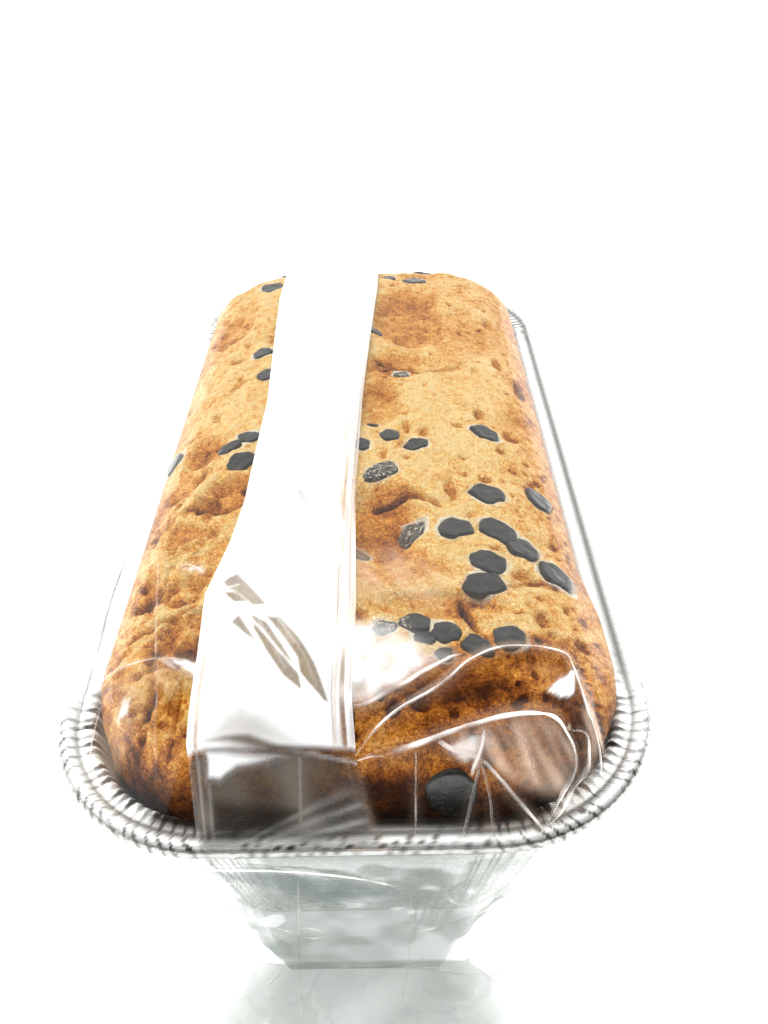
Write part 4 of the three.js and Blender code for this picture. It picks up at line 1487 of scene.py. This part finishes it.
# Painted shade, where it lies in its own shade: corners, softness, how dark
SEAM_SHADES = [
    ([(-24.1, -94.9), (-20.9, -94.2), (-16.6, -94), (-11.5, -95.5), (-3.8, -97.1), (-11.5, -96.9),
      (-18.3, -95.7)], 1.0, 0.95),
    ([(-24, -95), (-21.5, -91), (-18, -89), (-13.5, -91.5), (-9, -94.5), (-6, -96.5),
      (-16, -96)], 3.0, 0.56),
    ([(-14, -97), (-6, -97.2), (0, -98), (-8, -98), (-12, -98.4)], 1.0, 0.6),
]
# Painted highlights, where the light catches the fold: corners, softness, whiteness
SEAM_WHITES = [
    ([(-24.2, -95.8), (-15, -96.4), (-8.2, -96.7), (-13, -97.6), (-18.5, -98.4), (-21.3, -100.1),
      (-24, -99.7)], 1.3, 0.85),
]
# The darkest place below the fold
SEAM_WEDGE = [(-22.3, -102.5), (-8.5, -103.8), (-14, -107), (-19, -108.5), (-22.5, -106.5)]
# The fan of pleats at the seam's lower end, with painted highlights: corners, softness, whiteness
SEAM_FAN = ([(-0.7, -100.6), (2, -101.9), (4.8, -109), (-22.9, -109), (-16.5, -106.4),
             (-8.2, -104)], 1.3, 0.46)
# Painted highlights, bright lines where its plies end or are folded: points and whiteness
SEAM_LINES = [
    ([(-8.2, -72), (-8.2, -96), (-7.9, -108)], 0.25),
    ([(-27.4, -94.8), (-23, -95), (-16, -95.8), (-8, -96.6), (1.2, -97.6)], 0.5),
    ([(-24.5, -96), (-23.2, -101), (-22.2, -108)], 0.3),
    ([(-18.6, -72.8), (-12.4, -80.6), (-3.4, -90.6)], 0.8),
    ([(-27.6, -63), (-21.9, -69.5), (-17.8, -71.9)], 0.9),
    ([(-16.5, -74), (-11, -84)], 0.5),
    ([(-13, -74), (-7.6, -82), (-5.4, -87)], 0.45),
    ([(-26.3, -66.4), (-21.1, -65.3)], 0.7),
]
# Where the fan's pleats meet, x and y
SEAM_FAN_FOOT = (-24, -109.5)
SEAM_CELLS = (96, 400)


def seam_edges(y):
    """The seam's left and right edges at places along the loaf."""
    return [np.interp(-y, [-p[0] for p in edge], [p[1] for p in edge]) for edge in (SEAM_LEFT, SEAM_RIGHT)]


def make_seam(material):
    """The seam: several plies of film folded flat along the top and down over both ends to the rim."""
    bm = bmesh.new()

    def form(u, v):
        y = (v - 0.3 * (1 - v * v)) * (RIM[1] - 0.3)
        left, right = seam_edges(y)
        x = left + (right - left) * (u + 1) / 2
        across = (u + 1) / 2 * (right - left)
        from_edge = np.minimum(across, right - left - across)
        ribs = 0.05 * np.cos(from_edge * 2 * math.pi / 0.95) * smooth(5.5, 3.5, from_edge)
        front = smooth(-55, -70, y)
        waves = 0.25 * cloud(x, y, 24, 1.0) + front * 0.4 * creased(x * 0.8, y, 12, 6.0)
        lift = 0.45 * smooth(0, 0.8, from_edge) + 0.15
        return x, y, film_height(x, y) + lift + ribs + waves * smooth(0, 3, from_edge)

    add_grid(bm, *SEAM_CELLS, form)
    seam = finish_piece(bm, "film_seam", material, outwards=False)
    paint_seam(seam)
    return seam


def paint_seam(seam):
    """Painted reflections: white on top where its plies mirror the sky, clear in gaps and at the far end,
    and dark below the near fold, where it mirrors the dark end of the cake, with painted shade there too."""
    x, y, _ = points_of(seam)
    left, right = seam_edges(y)
    from_edge = np.minimum(x - left, right - x)
    front_drop = smooth(-95.4, -96.8, y)
    back_drop = smooth(86, 96, y)
    below_fold = smooth(*SEAM_FOLD, y)
    clear = np.maximum(0.96 * front_drop, 0.8 * back_drop)
    for corners, soft, share in SEAM_GAPS:
        clear = np.maximum(clear, share * patch(x, y, corners, soft))
    # Fine lines along both edges, where the plies end
    streaks = smooth(-0.3, 0.5, cloud(from_edge * 5, y / 26, 1.0, 3.0))
    right_band = smooth(4.4, 3.2, right - x) * smooth(30, -30, y)
    left_band = 0.7 * smooth(2.4, 1.6, x - left) * smooth(-35, -50, y)
    band = np.maximum(right_band, left_band) * (1 - front_drop)
    clear = np.maximum(clear, (0.2 + 0.44 * streaks) * band)
    # Grey leaves in the gaps near the fold, and a painted dark reflection below it
    leaf = clear * smooth(-95, -94, y) * smooth(-50, -60, y) * smooth(3, 4, from_edge)
    sheen = 0.44 + 0.34 * cloud(x * 0.9 + y * 0.4, y * 0.12, 1.6, 5.0)
    dark_reflection = (0.68 + 0.4 * cloud(x + 0.7 * y, y * 0.7 - x * 0.3, 7, 9.0)) * below_fold
    dark_reflection = dark_reflection * (1 - 0.5 * patch(x, y, SEAM_WEDGE, 1.0)) * smooth(-109, -104, y)
    dark_reflection = dark_reflection * (1 - 0.6 * smooth(-10, 2, x)) * smooth(0, 1.2, from_edge)
    grey = np.maximum(sheen * leaf, dark_reflection)
    # The seam's white is painted glare
    white = 0.8 * (1 - clear)
    for corners, soft, whiteness in SEAM_WHITES:
        here = whiteness * patch(x, y, corners, soft) ** 1.5
        white = np.maximum(white, here)
        grey = grey * (1 - here)
    fan_x, fan_y = SEAM_FAN_FOOT
    corners, soft, whiteness = SEAM_FAN
    way = np.arctan2(y - fan_y, x - fan_x)
    pleats = 0.6 + 0.7 * cloud(way * 26, np.hypot(x - fan_x, y - fan_y) / 30, 1.0, 2.0)
    white = np.maximum(white, whiteness * pleats * patch(x, y, corners, soft))
    # Painted highlights along its edges below the fold
    edge_lines = (0.16 + 0.16 * (x < -12)) * streaks * smooth(3.4, 2.2, from_edge) * front_drop
    white = np.maximum(white, edge_lines)
    for line, whiteness in SEAM_LINES:
        far, _ = along_line(x, y, line)
        white = np.maximum(white, whiteness * smooth(0.45, 0.1, far))
    shade = grey * (1 - 0.3 * leaf) / (grey + 0.6 * white + 0.01)
    for corners, soft, share in SEAM_SHADES:
        shade = np.maximum(shade, share * patch(x, y, corners, soft))
    # Painted shade along its right edge
    shade = np.maximum(shade, 0.45 * smooth(1.0, 0.4, right - x) * smooth(-60, -20, y))
    # Painted shade below the fold, which dims the cake seen through it
    dim = below_fold * smooth(-109, -106, y) * smooth(0, 1.2, from_edge) * (1 - 0.5 * smooth(-10, 2, x))
    paint(seam, "glare_and_haze", np.maximum(white, grey))
    paint(seam, "shade", 1.1 * shade)
    paint(seam, "warm_reflection", 0.7 * band * streaks)
    paint(seam, "dim", 0.75 * dim)
    paint(seam, "plies", 0.15 + 0.75 * (1 - clear))


def flap_half(y):
    """Half the width of a pressed end, which fans out from the nose. y grows outwards at either end."""
    return NOSE_HALF - 2 + FLAP_SPREAD * np.clip((y - NOSE_REACH) / (FLAP_REACH - NOSE_REACH), 0, 1) ** 0.85


def flap_height(x, y, side, number):
    """The height of the lower or upper ply, 0 or 1, of a pressed end."""
    calm = smooth(0, 0.25, (y - NOSE_REACH + 3) / (FLAP_REACH - NOSE_REACH + 3))
    waves = 0.5 + 0.9 * calm * (1 + creased(x, y, 16, side * 4.0 + number))
    ripples = 0.7 * (1 + creased(x, y, 7, side * 3.0)) + 0.25 * creased(x, y, 3.2, 1.0)
    return np.maximum(0.25 + number * (waves + calm * ripples), 0.2)


def make_flap(material, side, name):
    """A pressed end of the wrap: two plies of film fanned out on the table. side is -1 at the front."""
    bm = bmesh.new()
    start = NOSE_REACH - 0.8

    def ply(number):
        def form(u, v):
            t = (v + 1) / 2
            y = start + (FLAP_REACH - start) * t
            y = y + 2.2 * t * cloud(u * 3, t * 0, 1.0, number + side)
            x = u * (flap_half(y) + 1.8 * cloud(u * 0, t * 5, 1.0, number * 3.1 + side * 9))
            return x, side * y, flap_height(x, y, side, number)

        return form

    for number in (0, 1):
        add_grid(bm, 100, 60, ply(number))
    flap = finish_piece(bm, name, material, outwards=False)
    x, y, _ = points_of(flap)
    # A grey veil over the table, partly its plies and partly painted shadow, dimmed as painted shadow, with
    # painted highlights on its creases
    bends = creased(x, abs(y), 16, side * 4.0 + 1), creased(x, abs(y), 7, side * 3.0)
    crease = np.clip(smooth(0.93, 0.99, bends[0]) + 0.6 * smooth(0.93, 0.99, bends[1]), 0, 1)
    inner = smooth(1.0, 0.55, abs(x) / flap_half(abs(y)))
    veil = 0.08 + 0.14 * inner + 0.1 * cloud(x + 0.5 * y, 0.3 * y, 9, 4.0)
    paint(flap, "glare_and_haze", veil + 0.14 * crease)
    paint(flap, "shade", 0.9 - 0.6 * crease)
    paint(flap, "plies", np.full(x.shape, 0.03))
    paint(flap, "dim", 0.1 + 0.1 * inner + 0.16 * cloud(x - y, 0.5 * y, 12, 8.0))
    return flap


def on_top(x, y, lift):
    return x, y, film_height(x, y) + lift


def on_panel(x, z, lift):
    """The front panel runs from the rim down and in to the nose on the table."""
    y = -(RIM[1] + FILM_OUTSIDE) + (59 - z) * (RIM[1] - NOSE_REACH) / 59
    return x, y - 0.5 - lift, z


def on_table(x, y, lift):
    return x, y, flap_height(x, -y, -1, 1) + lift


# The pieces

crust = crust_material()
chocolate = chocolate_material()
foil = foil_material()
# The last colour of each film is the colour of its painted shade
film = film_material("clear_film", (9, 0.12, 0.6), (0.20, 0.235, 0.235))
seam_film = film_material("folded_film", (14, 0.12, 0.8), (0.14, 0.12, 0.1))
flap_film = film_material("pressed_film", (6, 0.3, 0.8), (0.55, 0.60, 0.56))

make_cake(crust)
make_chips(chocolate)
make_tin(foil)
make_film_body(film)
make_seam(seam_film)
top_folds = [(line, 0.42 * half, 0.85 * white) for line, half, _, white in FOLDS]
top_folds.append((LEFT_OUTLINE, 0.45, -0.8))
make_creases("film_top_creases", top_folds, on_top, lambda x, y, z: (x, y), film)
make_creases("film_panel_creases", PANEL_CREASES, on_panel, lambda x, y, z: (x, z), film)
make_creases("film_table_creases", TABLE_CREASES, on_table, lambda x, y, z: (x, y), film)
make_flap(flap_film, -1, "film_front_end")
make_flap(flap_film, 1, "film_back_end")


# Table, lights and camera

def make_table():
    bm = bmesh.new()
    bmesh.ops.create_grid(bm, x_segments=1, y_segments=1, size=4)
    mesh = bpy.data.meshes.new("pale_table")
    bm.to_mesh(mesh)
    bm.free()
    material, w = new_material("white_table")
    white = (0.93, 0.935, 0.93, 1)
    settings = {"Base Color": white, "Roughness": 1.0, "Specular IOR Level": 0.0}
    settings |= {"Emission Color": white, "Emission Strength": 0.4}
    end_material(w, w.node("ShaderNodeBsdfPrincipled", None, settings))
    mesh.materials.append(material)
    table = bpy.data.objects.new("pale_table", mesh)
    bpy.context.scene.collection.objects.link(table)


def make_world():
    """A white room: bright behind, to the left and low down, darker above the camera."""
    world = bpy.data.worlds.new("white_room")
    world.use_nodes = True
    bpy.context.scene.world = world
    tree = world.node_tree
    tree.nodes.clear()
    w = Wire(tree)
    way = w.node("ShaderNodeTexCoord", out=0)
    x, y, z = (w.node("ShaderNodeSeparateXYZ", None, {0: way}, out=axis) for axis in range(3))
    back = y.between(-0.05, 0.5, 0.04, 1.2)
    left = x.between(-0.8, -0.45, 1.1, 0.0)
    low = z.between(0.1, 0.32, 0.85, 0.0) * (y - x * 0.6).between(-0.7, 0.1, 0.3, 1.0)
    brightness = back.math("MAXIMUM", back, left)
    brightness = brightness.math("MAXIMUM", brightness, low)
    light = w.node("ShaderNodeBackground", None, {"Color": (1, 1, 1, 1), "Strength": brightness})
    w.node("ShaderNodeOutputWorld", None, {"Surface": light})


def add_broad_lamp(name, towards, degrees, energy):
    """A very broad distant lamp, which makes soft shadows and no glare in the film."""
    data = bpy.data.lights.new(name, "SUN")
    data.angle = math.radians(degrees)
    data.energy = energy
    lamp = bpy.data.objects.new(name, data)
    bpy.context.scene.collection.objects.link(lamp)
    lamp.rotation_euler = Vector(towards).to_track_quat("-Z", "Y").to_euler()
    lamp.visible_glossy = False


def make_camera():
    """The photograph's view: above the near end, looking down along the loaf."""
    pitch, roll, yaw = (math.radians(a) for a in (39.214, -1.826, -0.782))
    ahead = Vector((math.sin(yaw) * math.cos(pitch), math.cos(yaw) * math.cos(pitch), -math.sin(pitch)))
    level = Vector((math.cos(yaw), -math.sin(yaw), 0))
    above = level.cross(ahead)
    right = level * math.cos(roll) + above * math.sin(roll)
    up = above * math.cos(roll) - level * math.sin(roll)
    data = bpy.data.cameras.new("camera")
    data.sensor_width = 36
    data.lens = 36 * 850 / 1024
    data.clip_start = 0.01
    camera = bpy.data.objects.new("camera", data)
    bpy.context.scene.collection.objects.link(camera)
    turn = Matrix((right, up, -ahead)).transposed().to_4x4()
    camera.matrix_world = Matrix.Translation((0.0084, -0.1814, 0.1938)) @ turn
    bpy.context.scene.camera = camera


make_table()
make_world()
add_broad_lamp("sky_lamp", (0.12, -0.18, -1), 70, 6.6)
add_broad_lamp("front_lamp", (0.1, 0.8, -0.7), 70, 1.2)
make_camera()
bpy.context.scene.view_settings.view_transform = "Standard"
